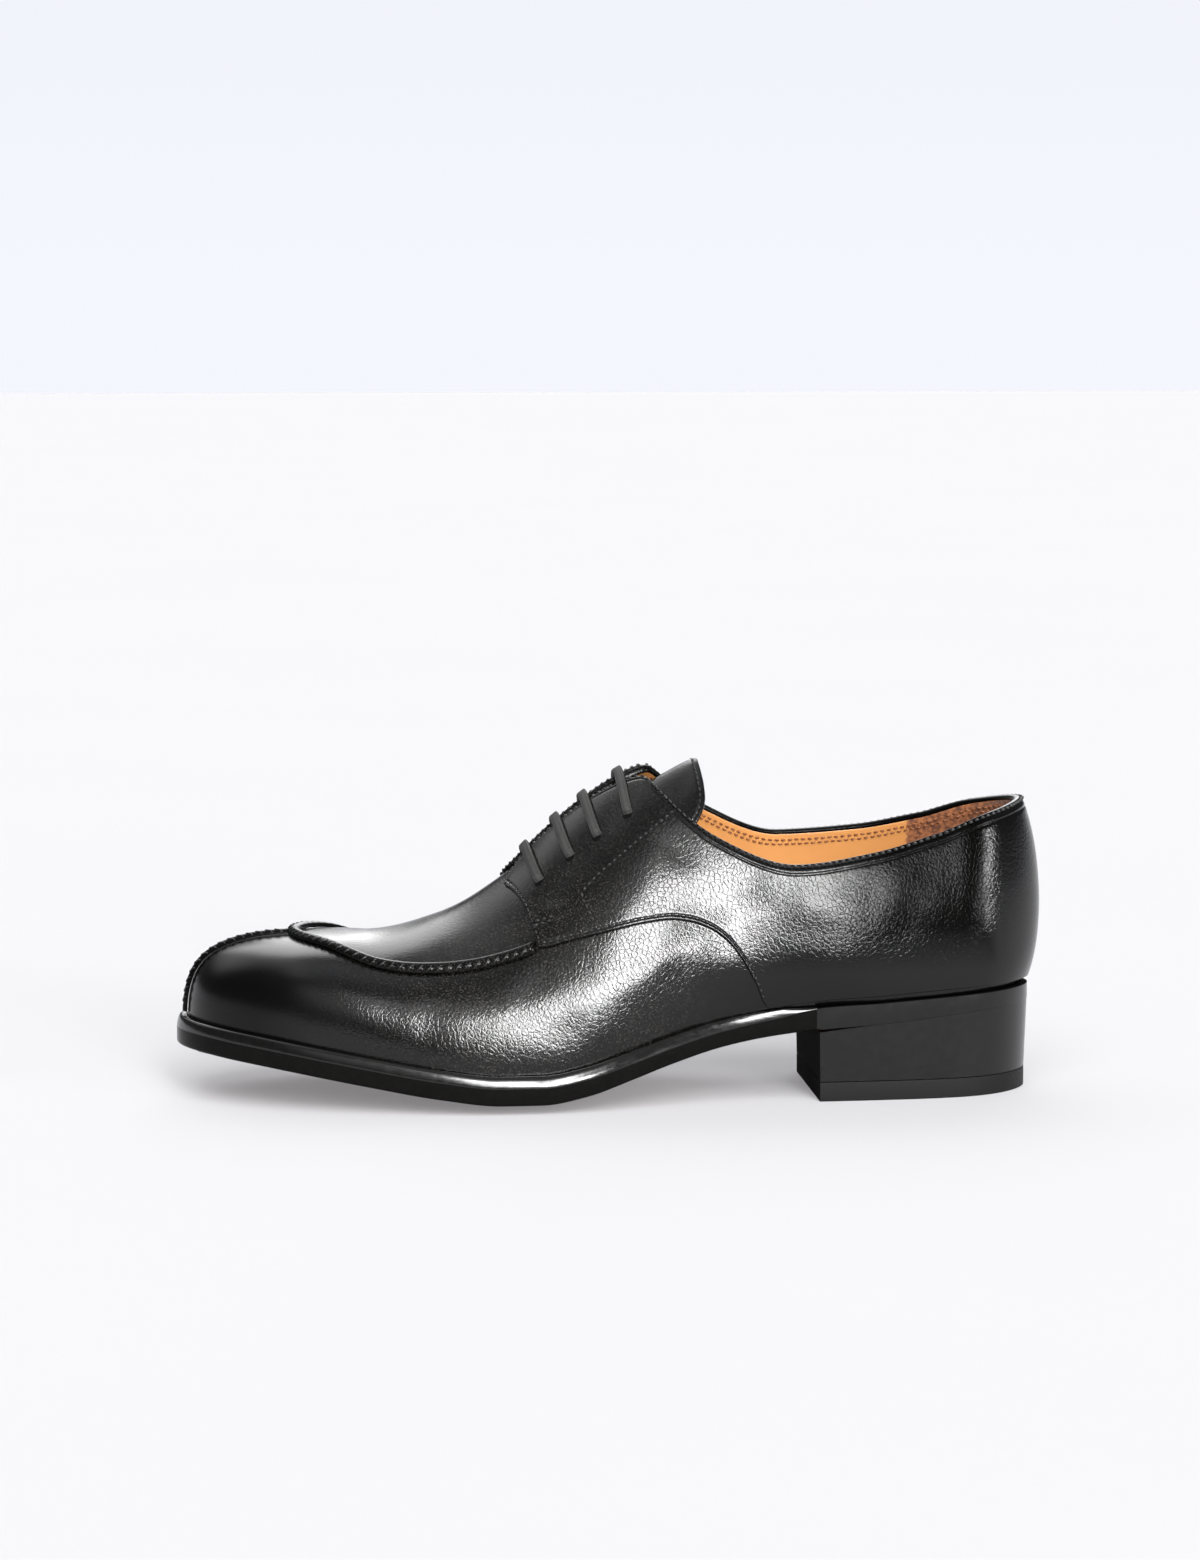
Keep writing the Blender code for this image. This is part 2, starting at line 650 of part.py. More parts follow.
# Sole pieces
def grown(extra):
    """The sole's outline from above: the upper's edge, its rim and an extra."""
    wide = sole_at("rim", FEATHER_LINE[:, 0]) + extra
    return FEATHER_LINE + FEATHER_OUT * wide[:, None]


def side_lines(line):
    """An outline as two lines from toe to heel, outer side first."""
    toe, heel = int(np.argmin(line[:, 0])), int(np.argmax(line[:, 0]))
    turned = np.roll(line, -toe, axis=0)
    heel = (heel - toe) % len(line)
    return turned[:heel + 1], np.vstack([turned[heel:], turned[:1]])[::-1]


def ring_of(line, xs, height, squeeze=1.0):
    """Ring along both sides of an outline at stations between its ends, at a height that follows x."""
    outer, inner = side_lines(line)
    xs = np.clip(xs, line[:, 0].min(), line[:, 0].max())
    sides = []
    for one in (outer, inner):
        y = np.interp(xs, one[:, 0], one[:, 1])
        mid = middle_y(xs)
        sides.append(np.stack([xs, mid + (y - mid) * squeeze, height(xs)], axis=1))
    return np.concatenate([sides[0], sides[1][::-1]])


def spread(start, stop, count, round_start):
    """Stations that crowd at a round end."""
    turn = np.linspace(0.0 if round_start else math.pi / 2, math.pi, count)
    share = (1 - np.cos(turn)) / 2 if round_start else -np.cos(turn)
    return start + (stop - start) * share


def outsole():
    def edge(x):
        return sole_at("bottom", x) + sole_at("edge_rise", x)

    line = grown(0.0)
    low, high = line[:, 0].min(), line[:, 0].max()
    xs = np.unique(np.concatenate([spread(low, high, 43, True), [-41.0, -34.0, -27.0]]))
    inset = grown(-0.9)

    def fit(outline):
        return outline[:, 0].min() + (xs - low) * (np.ptp(outline[:, 0]) / (high - low))

    inner_x = np.where(np.abs(xs) < 60, xs, xs * 0.95)
    rings = [
        ring_of(line, inner_x, lambda x: sole_at("bottom", x), FLAT_SHARE),
        ring_of(inset, fit(inset), edge),
        ring_of(line, xs, lambda x: edge(x) + 0.9),
        ring_of(line, xs, lambda x: sole_top(x) - 0.7),
        ring_of(inset, fit(inset), sole_top),
    ]
    stack("outsole", rings, SOLE_LEATHER)


def heel(name, levels, made_of):
    """Heel block from rings: each level is an inset from the sole's outline and a height over x."""
    rings = []
    for inset, height in levels:
        line = grown(-inset)
        xs = spread(BREAST_X + min(inset, 0.4), line[:, 0].max(), 15, False)
        rings.append(ring_of(line, xs, height))
    stack(name, rings, made_of)


def flat(z):
    return lambda x: np.full(len(x), z)


def welt():
    """Strip from the heel breast round the toe and back, close to the upper's own wall."""
    side_run = np.concatenate([u_at_x(np.linspace(69.0, -85.0, 23)), np.linspace(2.0, 0.0, 17)[1:]])
    run = [(u, LATERAL) for u in side_run] + [(u, MEDIAL) for u in side_run[-2::-1]]
    profiles = []
    for u, side in run:
        place = np.interp(u, FINE, REACH[side][:, 1])
        if u < 0.02:
            place = REACH[LATERAL][0, 1]
        way = np.array([np.interp(place, np.arange(len(FEATHER_OUT)), FEATHER_OUT[:, i]) for i in range(2)])
        foot = skin(u, 0.0, side)
        rim = float(sole_at("rim", foot[0]))
        high = float(sole_at("welt", foot[0]))
        wall = skin(u, t_at_height(u, side, foot[2] + high), side)
        lean = max(float((wall[:2] - foot[:2]) @ way), 0.0) + GAP
        body_width = rim - lean
        corners = ((GAP, 0.0), (rim - 0.3, 0.0), (rim, 0.3), (lean + 0.78 * body_width, 0.78),
                   (lean + 0.45 * body_width, 1.0), (lean, 1.0))
        profile = []
        for out, share in corners:
            x, y = foot[:2] + way * out
            profile.append((x, y, float(sole_top(x)) + GAP + share * high))
        profiles.append(profile)
    sweep("welt", np.array(profiles), SOLE_LEATHER)


def insole():
    line = FEATHER_LINE - FEATHER_OUT * (WALL + GAP + 0.6)
    xs = spread(line[:, 0].min(), line[:, 0].max(), 29, True)
    rings = [ring_of(line, xs, lambda x: sole_top(x) + GAP),
             ring_of(line, xs, lambda x: sole_top(x) + GAP + INSOLE_THICK)]
    stack("insole", rings, TAN_LINING)


outsole()
welt()
insole()
heel("heel_stack",
     ((1.0, flat(TOP_LIFT)), (0.2, lambda x: sole_at("bottom", x) - GAP)),
     HEEL_LEATHER)
heel("heel_top_lift",
     ((1.4, flat(0.0)), (1.0, flat(0.6)), (1.0, flat(TOP_LIFT - GAP))),
     HEEL_RUBBER)
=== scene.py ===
"""Left apron toe derby: leather, seams, laces and lining on its frame.

The toe points to -X and the outer side to -Y; sizes are in millimetres.
"""
import math
from collections import namedtuple

import bmesh
import bpy
import numpy as np
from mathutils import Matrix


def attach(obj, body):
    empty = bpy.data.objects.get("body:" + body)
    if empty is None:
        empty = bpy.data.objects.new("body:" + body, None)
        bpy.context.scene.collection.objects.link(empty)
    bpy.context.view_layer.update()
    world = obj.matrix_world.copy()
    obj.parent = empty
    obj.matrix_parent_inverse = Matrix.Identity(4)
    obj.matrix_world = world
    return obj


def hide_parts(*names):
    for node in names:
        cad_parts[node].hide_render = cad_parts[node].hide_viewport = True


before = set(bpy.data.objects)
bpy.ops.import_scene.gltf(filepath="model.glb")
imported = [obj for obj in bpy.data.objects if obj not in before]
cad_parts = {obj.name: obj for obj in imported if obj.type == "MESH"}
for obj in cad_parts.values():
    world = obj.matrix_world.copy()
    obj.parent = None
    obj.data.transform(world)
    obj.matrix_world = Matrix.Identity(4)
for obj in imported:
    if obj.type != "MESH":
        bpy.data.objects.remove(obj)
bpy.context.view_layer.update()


def table(columns, *rows):
    """Rows of values under named columns."""
    named = namedtuple("Row", columns)
    return tuple(named(*row) for row in rows)


# Driving sizes
MM = 0.001
WALL = 2.0
OVERLAY = 1.4
GAP = 0.3
LACE_WIDTH = 3.3
LACE_THICK = 1.7
INSOLE_THICK = 3.5
TOP_LIFT = 7.0
BREAST_X = 70.0
FLAT_SHARE = 0.55
CENTRE = (0.6, -1.35, 0.0)
LATERAL, MEDIAL = -1.0, 1.0

# The upper's edge on the sole, seen from above: half widths on either side of the long axis
TOE_TIP = (-147.0, 3.0)
HEEL_TIP = (146.0, 0.0)
FEATHER = table(
    "x lateral medial",
    (-141.0, 15.0, 21.5), (-128.0, 28.0, 33.5), (-108.0, 39.0, 41.0), (-84.0, 45.0, 45.0),
    (-58.0, 48.5, 46.5), (-34.0, 49.0, 44.0), (-8.0, 46.0, 38.0), (18.0, 39.5, 31.0),
    (45.0, 34.2, 27.5), (75.0, 33.2, 28.8), (107.0, 31.0, 31.6), (128.5, 25.2, 26.0),
    (141.0, 14.0, 14.5))

# The sole along its length: underside at the middle, lift of its edge, edge thickness, welt and rim
SOLE = table(
    "x bottom edge_rise thick welt rim",
    (-151.0, 17.0, 1.2, 6.0, 3.7, 4.0),
    (-130.0, 14.2, 2.2, 6.0, 3.7, 4.2),
    (-108.0, 10.4, 3.0, 6.0, 3.7, 4.5),
    (-85.0, 6.2, 3.2, 6.0, 3.7, 4.8),
    (-62.0, 2.3, 3.2, 6.0, 3.7, 5.0),
    (-41.0, 0.0, 3.2, 6.0, 3.7, 5.0),
    (-27.0, 0.0, 3.2, 6.0, 3.7, 5.0),
    (-12.0, 2.4, 3.2, 6.0, 3.7, 5.0),
    (4.0, 7.6, 3.0, 5.8, 3.7, 4.6),
    (18.0, 12.6, 2.6, 5.6, 3.7, 4.0),
    (36.0, 18.2, 2.0, 5.5, 3.5, 3.5),
    (54.0, 22.0, 1.4, 5.9, 2.9, 3.0),
    (72.0, 24.6, 0.8, 7.6, 1.4, 2.4),
    (92.0, 26.8, 0.0, 7.2, 1.4, 2.0),
    (149.0, 31.0, 0.0, 5.6, 1.4, 2.2))

# Sections of the last from toe to heel: base point and turn of the section, wall handles, ridge and collar
SECTIONS = table(
    "x turn flare_lat flare_med rise crest pull collar_lat collar_med",
    (-85.0, 0.0, 3.0, 3.0, 30.5, 56.5, 47.0, 150.0, 150.0),
    (-85.0, 45.0, 4.0, 4.0, 31.0, 56.5, 39.5, 150.0, 150.0),
    (-85.0, 90.0, 6.0, 5.0, 32.0, 56.5, 27.0, 150.0, 150.0),
    (-60.0, 90.0, 6.0, 5.0, 31.0, 62.5, 24.0, 150.0, 150.0),
    (-37.0, 90.0, 6.0, 5.0, 31.0, 76.0, 22.0, 150.0, 150.0),
    (-20.0, 90.0, 7.5, 5.0, 31.0, 92.0, 21.0, 150.0, 150.0),
    (0.0, 90.0, 11.0, 6.0, 32.0, 107.5, 21.0, 130.0, 130.0),
    (15.0, 90.0, 15.0, 7.0, 32.0, 115.5, 20.0, 107.6, 112.5),
    (35.0, 90.0, 18.0, 8.0, 32.0, 121.5, 19.0, 90.8, 97.4),
    (62.0, 90.0, 19.0, 9.0, 31.0, 127.0, 21.0, 81.4, 87.4),
    (90.0, 90.0, 13.5, 12.0, 29.0, 130.0, 20.0, 85.0, 88.8),
    (114.0, 90.0, 11.0, 13.0, 28.0, 130.0, 19.0, 91.4, 93.0),
    (114.0, 135.0, 17.0, 18.0, 28.0, 130.0, 28.0, 98.2, 98.6),
    (114.0, 180.0, 23.0, 23.0, 29.0, 130.0, 34.0, 101.3, 101.3))
FIRST_SQUARE = 2
LAST_SQUARE = 11
TURN_PACE = 25.0
TOE_TURN_X = SECTIONS[FIRST_SQUARE].x
HEEL_TURN_X = SECTIONS[LAST_SQUARE].x

# The middle line from above, the apron seam, the throat, the quarter's lower edge, tongue and lace bars
MIDDLE = table("x y", (-150.0, 3.0), (-85.0, 2.0), (-30.0, 0.0), (150.0, 0.0))
APRON_TIP = (-110.0, 2.4)
APRON = table(
    "x lateral medial",
    (-107.5, 9.0, 13.0), (-102.5, 16.5, 20.5), (-95.5, 23.5, 27.0), (-87.0, 29.0, 32.0),
    (-75.0, 32.5, 34.5), (-60.0, 34.5, 35.0), (-45.0, 35.3, 34.8), (-28.0, 35.6, 34.2),
    (-10.0, 35.6, 33.5))
THROAT = table(
    "x lateral medial",
    (-31.0, 0.0, 0.0), (-27.0, 3.0, 2.0), (-10.0, 4.5, 3.2), (5.0, 7.5, 4.6), (20.0, 12.0, 7.5))
FACING_FRONT_X = -37.0
FACING_CORNER_X = -26.0
FACING_TOP_X = -26.5
FACING_LEAN_COLUMNS = 2.2
FACING_ROUNDING = (0.11, 0.055, 0.02, 0.004)
TOP_SHARP = 40.0
WING = table(
    "x z",
    (-26.0, 55.0), (-17.0, 57.2), (-3.5, 60.4), (10.5, 63.4), (18.0, 64.2), (25.0, 63.4),
    (32.0, 60.8), (38.0, 56.4), (43.0, 50.0), (47.5, 42.0), (51.5, 34.0))
TONGUE = table(
    "x depth half_width",
    (-47.0, 2.6, 17.0), (-30.0, 2.8, 20.0), (-12.0, 5.4, 22.0),
    (8.0, 6.8, 24.0), (18.0, 5.4, 29.0), (30.0, 3.6, 33.0))
TONGUE_THICK = 1.8
TONGUE_TIP_SWEEP = 2.0
TONGUE_CORNER = 36.0
TONGUE_FLAT = 0.7
TONGUE_ROW_SINK = 0.1
LACE_BARS = table(
    "crest_x eyelet_x eyelet_z",
    (-27.6, -25.2, 76.0), (-17.2, -14.6, 84.4), (-7.6, -5.2, 91.4), (4.4, 5.4, 98.8))

# Raised seams: half width, height, where the stitches start and stop across them, rounding of the ends
Roll = namedtuple("Roll", "half_width crest stitch_start stitch_stop end_round")
APRON_ROLL = Roll(2.3, 2.2, 0.5, 0.16, 2.5)
TOE_ROLL = Roll(1.7, 1.6, 0.55, 0.2, 0.4)
APRON_SEAM_END_X = -28.0
TOE_SEAM_UNDER = 1.2
TOE_SEAM_CLEAR = 1.0

# Columns of the quarters' grid along the shoe, finer where the edges turn
QUARTER_SPANS = table(
    "start stop columns",
    (-37.0, -28.0, 3), (-28.0, -10.0, 3), (-10.0, 3.0, 2), (3.0, 19.0, 4),
    (19.0, 34.0, 3), (34.0, 55.0, 6), (55.0, 114.0, 6))
HEEL_COLUMNS = 8
BACK_SEAM = 0.006


def column(listed, name):
    return np.array([getattr(row, name) for row in listed], float)


def through(xs, ys, where):
    """Smooth curve through a table's values that never overshoots them."""
    where = np.clip(np.asarray(where, float), xs[0], xs[-1])
    step = np.diff(xs)
    slope = np.diff(ys) / step
    before, after = slope[:-1], slope[1:]
    same = before * after > 0
    tangent = np.zeros(len(xs))
    tangent[1:-1][same] = 2 * before[same] * after[same] / (before + after)[same]
    k = np.clip(np.searchsorted(xs, where, side="right") - 1, 0, len(step) - 1)
    s = (where - xs[k]) / step[k]
    rise = ys[k + 1] - ys[k]
    bend = tangent[k] * step[k] * s * (1 - s) ** 2 - tangent[k + 1] * step[k] * s ** 2 * (1 - s)
    return ys[k] + rise * s * s * (3 - 2 * s) + bend


def look_up(listed, name, where):
    return through(column(listed, listed[0]._fields[0]), column(listed, name), where)


def unit(ways):
    return ways / np.linalg.norm(ways, axis=-1)[..., None]


def arc_of(points, axis=0):
    """Distance along rows or columns of points from their first one."""
    step = np.linalg.norm(np.diff(points, axis=axis), axis=-1)
    start = np.zeros_like(np.take(step, [0], axis=axis))
    return np.concatenate([start, np.cumsum(step, axis=axis)], axis=axis)


def spline(points, closed, count):
    """Even cubic curve through points seen from above."""
    points = np.array(points, float)
    if closed:
        points = np.vstack([points, points[:1]])
    run = np.diff(points, axis=0)
    chord = np.concatenate([[0.0], np.cumsum(np.linalg.norm(run, axis=1) ** 0.75)])
    step = np.diff(chord)
    slope = run / step[:, None]
    n = len(points)
    inner = np.arange(1, n - 1)
    matrix = np.eye(n)
    right = np.zeros((n, 2))
    matrix[inner, inner - 1] = step[1:]
    matrix[inner, inner] = 2 * (step[:-1] + step[1:])
    matrix[inner, inner + 1] = step[:-1]
    right[inner] = 3 * (step[1:, None] * slope[:-1] + step[:-1, None] * slope[1:])
    if closed:
        matrix[0, [0, 1, n - 2]] = (2 * (step[0] + step[-1]), step[-1], step[0])
        matrix[n - 1, 0] = -1
        right[0] = 3 * (step[0] * slope[-1] + step[-1] * slope[0])
    else:
        matrix[[0, n - 1], [1, n - 2]] = 0.5
        right[[0, n - 1]] = 1.5 * slope[[0, -1]]
    tangent = np.linalg.solve(matrix, right)
    where = np.linspace(0.0, chord[-1], count, endpoint=not closed)
    k = np.clip(np.searchsorted(chord, where, side="right") - 1, 0, n - 2)
    s = ((where - chord[k]) / step[k])[:, None]
    h = step[k][:, None]
    return (points[k] * (1 + 2 * s) * (1 - s) ** 2 + points[k + 1] * s ** 2 * (3 - 2 * s)
            + tangent[k] * h * s * (1 - s) ** 2 - tangent[k + 1] * h * s ** 2 * (1 - s))


def loop_points(tip, rows, heel):
    """Points of an outline: the toe's tip, the outer side, the heel if any, then the inner side."""
    outer = [(row.x, -row.lateral) for row in rows]
    inner = [(row.x, row.medial) for row in reversed(rows)]
    if heel is None:
        return list(reversed(outer)) + [tip] + list(reversed(inner))
    return [tip] + outer + [heel] + inner


FEATHER_LINE = spline(loop_points(TOE_TIP, FEATHER, HEEL_TIP), True, 1200)
APRON_LINE = spline(loop_points(APRON_TIP, APRON, None), False, 600)


def outward(line):
    """Unit directions square to a closed outline, pointing away from its inside."""
    along = np.roll(line, -1, axis=0) - np.roll(line, 1, axis=0)
    square = unit(np.stack([-along[:, 1], along[:, 0]], axis=1))
    return square if np.sum(square * (line - line.mean(axis=0))) > 0 else -square


FEATHER_OUT = outward(FEATHER_LINE)


def ray(base, way, line):
    """Distance along a ray to an outline, and the place on the outline where they meet."""
    rel = line - base
    across = rel[:, 0] * way[1] - rel[:, 1] * way[0]
    ahead = rel @ way
    turn = np.nonzero((across[:-1] * across[1:] <= 0) & (ahead[:-1] > 0))[0]
    if len(turn) == 0:
        return float("nan"), 0.0
    i = turn[0]
    part = across[i] / (across[i] - across[i + 1] + 1e-12)
    return ahead[i] + part * (ahead[i + 1] - ahead[i]), i + part


STATION = np.arange(len(SECTIONS), dtype=float)
LAST_STATION = STATION[-1]
FINE = np.linspace(0.0, LAST_STATION, 521)


def at(name, u):
    return through(STATION, column(SECTIONS, name), u)


def base_x(u):
    """Place of a section along the shoe; it keeps its pace up to the turns, then stays."""
    near = slice(FIRST_SQUARE - 1, LAST_SQUARE + 2)
    xs = column(SECTIONS, "x")[near]
    xs[0] -= TURN_PACE
    xs[-1] += TURN_PACE
    return through(STATION[near], xs, np.clip(u, FIRST_SQUARE, LAST_SQUARE))


def base_turn(u):
    return np.radians(np.interp(u, STATION, column(SECTIONS, "turn")))


def middle_y(x):
    return look_up(MIDDLE, "y", x)


def reach_tables(line):
    """Distance from every section's base point to an outline, for each side."""
    tables = {}
    for side in (LATERAL, MEDIAL):
        found = []
        for u in FINE:
            base = np.array([base_x(u), middle_y(base_x(u))])
            way = np.array([-math.cos(base_turn(u)), side * math.sin(base_turn(u))])
            found.append(ray(base, way, line))
        tables[side] = np.array(found)
    return tables


REACH = reach_tables(np.vstack([FEATHER_LINE, FEATHER_LINE[:1]]))
APRON_REACH = reach_tables(APRON_LINE)


def by_side(side, outer, inner):
    return np.where(np.asarray(side) < 0, outer, inner)


def reach(u, side):
    return by_side(side, *(np.interp(u, FINE, REACH[one][:, 0]) for one in (LATERAL, MEDIAL)))


def sole_at(name, x):
    return look_up(SOLE, name, x)


def sole_top(x):
    return sole_at("bottom", x) + sole_at("edge_rise", x) + sole_at("thick", x)


def together(*values):
    return np.broadcast_arrays(*(np.asarray(value, float) for value in values))


def skin(u, t, side):
    """Outside of the vamp: u runs from toe to heel, t from the sole to the ridge, side is outer or inner."""
    u, t, side = together(u, t, side)
    turn = base_turn(u)
    x = base_x(u)
    foot = reach(u, side)
    foot_z = sole_top(x - np.cos(turn) * foot) + GAP
    flare = np.radians(by_side(side, at("flare_lat", u), at("flare_med", u)))
    rise, crest, pull = at("rise", u), at("crest", u), at("pull", u)
    b0, b1, b2, b3 = (1 - t) ** 3, 3 * t * (1 - t) ** 2, 3 * t * t * (1 - t), t ** 3
    out = b0 * foot + b1 * (foot + rise * np.sin(flare)) + b2 * pull
    z = b0 * foot_z + b1 * (foot_z + rise * np.cos(flare)) + (b2 + b3) * crest
    return np.stack([x - np.cos(turn) * out, middle_y(x) + side * np.sin(turn) * out, z], axis=-1)


def normal(u, t, side):
    """Unit direction out of the skin."""
    u, t, side = together(u, t, side)
    tiny = 1e-3
    low = np.minimum(t, 0.985)
    along = skin(np.minimum(u + tiny, LAST_STATION), low, side) - skin(np.maximum(u - tiny, 0.0), low, side)
    up = skin(u, np.minimum(t + tiny, 1.0), side) - skin(u, np.maximum(t - tiny, 0.0), side)
    return unit(np.cross(along, up) * -side[..., None])


def raised(u, t, side, height):
    """Point over the skin by a height, or inside it by a negative one."""
    height = np.asarray(height, float)
    return skin(u, t, side) + normal(u, t, side) * height[..., None]


STEPS = np.linspace(0.0, 1.0, 401)


def t_at_height(u, side, z):
    return float(np.interp(z, skin(u, STEPS, side)[:, 2], STEPS))


def t_at_arc(u, side, arc):
    """Place on a section at a distance along the leather from the ridge."""
    run = arc_of(skin(u, STEPS, side)[::-1])
    return float(np.interp(arc, run, STEPS[::-1]))


def arc_above(u, side, t):
    """Distance along the leather from a place up to the ridge line."""
    return float(arc_of(skin(u, np.linspace(t, 1.0, 120), side))[-1])


def t_at_out(u, side, out):
    """Place on the upper part of a section at a distance from the section's base."""
    line = skin(u, STEPS, side)
    far = np.hypot(line[:, 0] - base_x(u), line[:, 1] - middle_y(base_x(u)))
    upper = STEPS > 0.25
    return float(np.interp(-out, -far[upper], STEPS[upper]))


def u_at_x(x):
    """Station of a square section at a place along the shoe."""
    square = (FINE >= FIRST_SQUARE) & (FINE <= LAST_SQUARE)
    return np.interp(x, base_x(FINE[square]), FINE[square])


def top_t(u, side):
    """Upper edge of the leather: the ridge in front, then the facing, then the collar."""
    x = float(base_x(u))
    collar = t_at_height(u, side, float(at("collar_lat" if side < 0 else "collar_med", u)))
    if x <= THROAT[0].x:
        return 1.0
    facing = t_at_arc(u, side, float(look_up(THROAT, "lateral" if side < 0 else "medial", x)))
    blend = math.exp(-TOP_SHARP * collar) + math.exp(-TOP_SHARP * facing)
    return min(-math.log(blend) / TOP_SHARP, facing)


def top_line(us, sides):
    return np.array([top_t(u, side) for u, side in zip(us, sides)])


def round_heel(count):
    """Stations behind the last square section, round the heel to its middle."""
    return np.linspace(LAST_SQUARE, LAST_STATION, count)[1:]


def to_toe(start_x, count, toe_count):
    """Stations from a place along the shoe forwards, and round the toe to its middle."""
    square = u_at_x(np.linspace(start_x, TOE_TURN_X, count))
    return np.concatenate([square, np.linspace(FIRST_SQUARE, 0.0, toe_count)[1:]])


def both_sides(half, closed=False):
    """Stations along the outer side and back along the inner one, with their sides."""
    us = np.concatenate([half, half[-2:0 if closed else None:-1]])
    return us, np.where(np.arange(len(us)) < len(half), LATERAL, MEDIAL)


def along_spans(spans):
    """Stations of a grid's columns through a table of spans, then round the heel to its middle."""
    xs = [np.linspace(span.start, span.stop, span.columns, endpoint=False) for span in spans]
    return np.concatenate([u_at_x(np.concatenate(xs + [[spans[-1].stop]])), round_heel(HEEL_COLUMNS)])


def welt_top(u, side):
    """Height of the welt at the foot of a section."""
    foot_x = float(skin(u, 0.0, side)[0])
    return float(sole_top(foot_x) + sole_at("welt", foot_x))


# Soft troughs and ridges of the leather, as lines on one side of the shoe; a ridge has a negative depth
CREASES = table(
    "side x z end_x end_z width depth",
    (LATERAL, -66.0, 29.0, 4.0, 42.0, 7.0, -0.5),
    (LATERAL, -20.0, 35.0, 42.0, 65.0, 7.0, -0.5),
    (LATERAL, 78.0, 30.0, 82.0, 92.0, 13.0, -0.5),
    (LATERAL, 22.0, 48.0, 108.0, 48.0, 9.0, -0.7),
    (LATERAL, 134.0, 58.0, 132.0, 114.0, 9.0, 0.8),
    (LATERAL, 18.0, 66.0, 55.0, 71.0, 4.5, 0.3),
    (LATERAL, 44.0, 70.0, 92.0, 76.0, 6.0, 0.22),
    (LATERAL, 26.0, 79.0, 78.0, 66.0, 7.0, -0.2),
    (LATERAL, -27.0, 65.0, -15.0, 68.0, 2.0, -0.3),
    (LATERAL, 12.0, 94.0, 28.0, 82.0, 4.0, 0.25),
    (LATERAL, -54.0, 50.0, -28.0, 58.0, 4.0, 0.25),
    (MEDIAL, -20.0, 35.0, 42.0, 65.0, 7.0, -0.5),
    (MEDIAL, 16.0, 68.0, 66.0, 77.0, 5.0, 0.3),
    (MEDIAL, -27.0, 65.0, -15.0, 68.0, 2.0, -0.3),
    (MEDIAL, -54.0, 50.0, -28.0, 58.0, 4.0, 0.25))
WAVES = table("length_x length_z height", (37.0, 21.0, 0.03), (-23.0, 29.0, 0.025), (15.0, -33.0, 0.02))

# Seams: distance from an edge, stitch length and thread
EDGE_ROUND = 0.65
WING_ROW = 1.7
COLLAR_ROUND = 2.6
COLLAR_ROW = 2.8
FACING_ROW = 1.6
TONGUE_ROW = 1.9
LINING_ROWS = (2.6, 4.2)
STITCH_PITCH = 2.4
STITCH_SHARE = 0.64
STITCH_STEPS = 5
THREAD = 0.42
DOG_LEG_THREAD = 0.46
GROOVE_DEPTH = 0.25
GROOVE_WIDTH = 0.45
ROW_SINK = 0.08
WELT_CLEAR = 1.2
WING_END_X = 52.0
WING_BLEND = 3.0
WING_ROW_END_X = 50.5
COLLAR_START_X = 10.0
COLLAR_BLEND = 6.0
COLLAR_ROW_X = 13.0
COLLAR_EDGE_X = -25.5
COLLAR_EDGE_HALF = 1.0
LINING_ROW_X = 14.0
APRON_PITCH = 3.3
APRON_PINCH = 0.1
APRON_STITCH = 2.5
APRON_THREAD = 0.34
APRON_THREAD_LIFT = 0.06
APRON_THREAD_DIVE = -0.35
DOG_LEG = table(
    "x z",
    (21.0, 99.7), (8.5, 90.3), (-5.7, 78.7), (-9.8, 74.6), (-11.6, 72.4), (-11.2, 70.2), (-8.0, 63.4))
TACK_TOP = table("x z", (-28.0, 62.6), (-20.2, 65.2))
TACK_FOOT = table("x z", (-28.6, 61.2), (-20.8, 63.8))

# Eyelets, shown as dark discs of painted shade, laces and other tubes; a roundness of 1 gives an ellipse
EYELET_RADIUS = 2.0
EYELET_DROP = 0.6
EYELET_LIFT = 0.04
EYELET_SIDES = 20
TUBE_SIDES = 14
THREAD_SIDES = 6
LACE_ROUNDNESS = 0.42
COLLAR_ROUNDNESS = 0.8
LACE_BEHIND = 1.2
LACE_REACH = 1.06
DIVE_FROM = 0.97
DIVE_OVER = 0.09
DIVE_CURVE = 1.6
HIDDEN_LACE_THICK = 1.1
HIDDEN_ASIDE = 0.05

# Finish
HEEL_PATCH_X = 109.0
WAIST_GLOSS = 0.1
WELD = 0.00001
SHORTEST = 0.000002


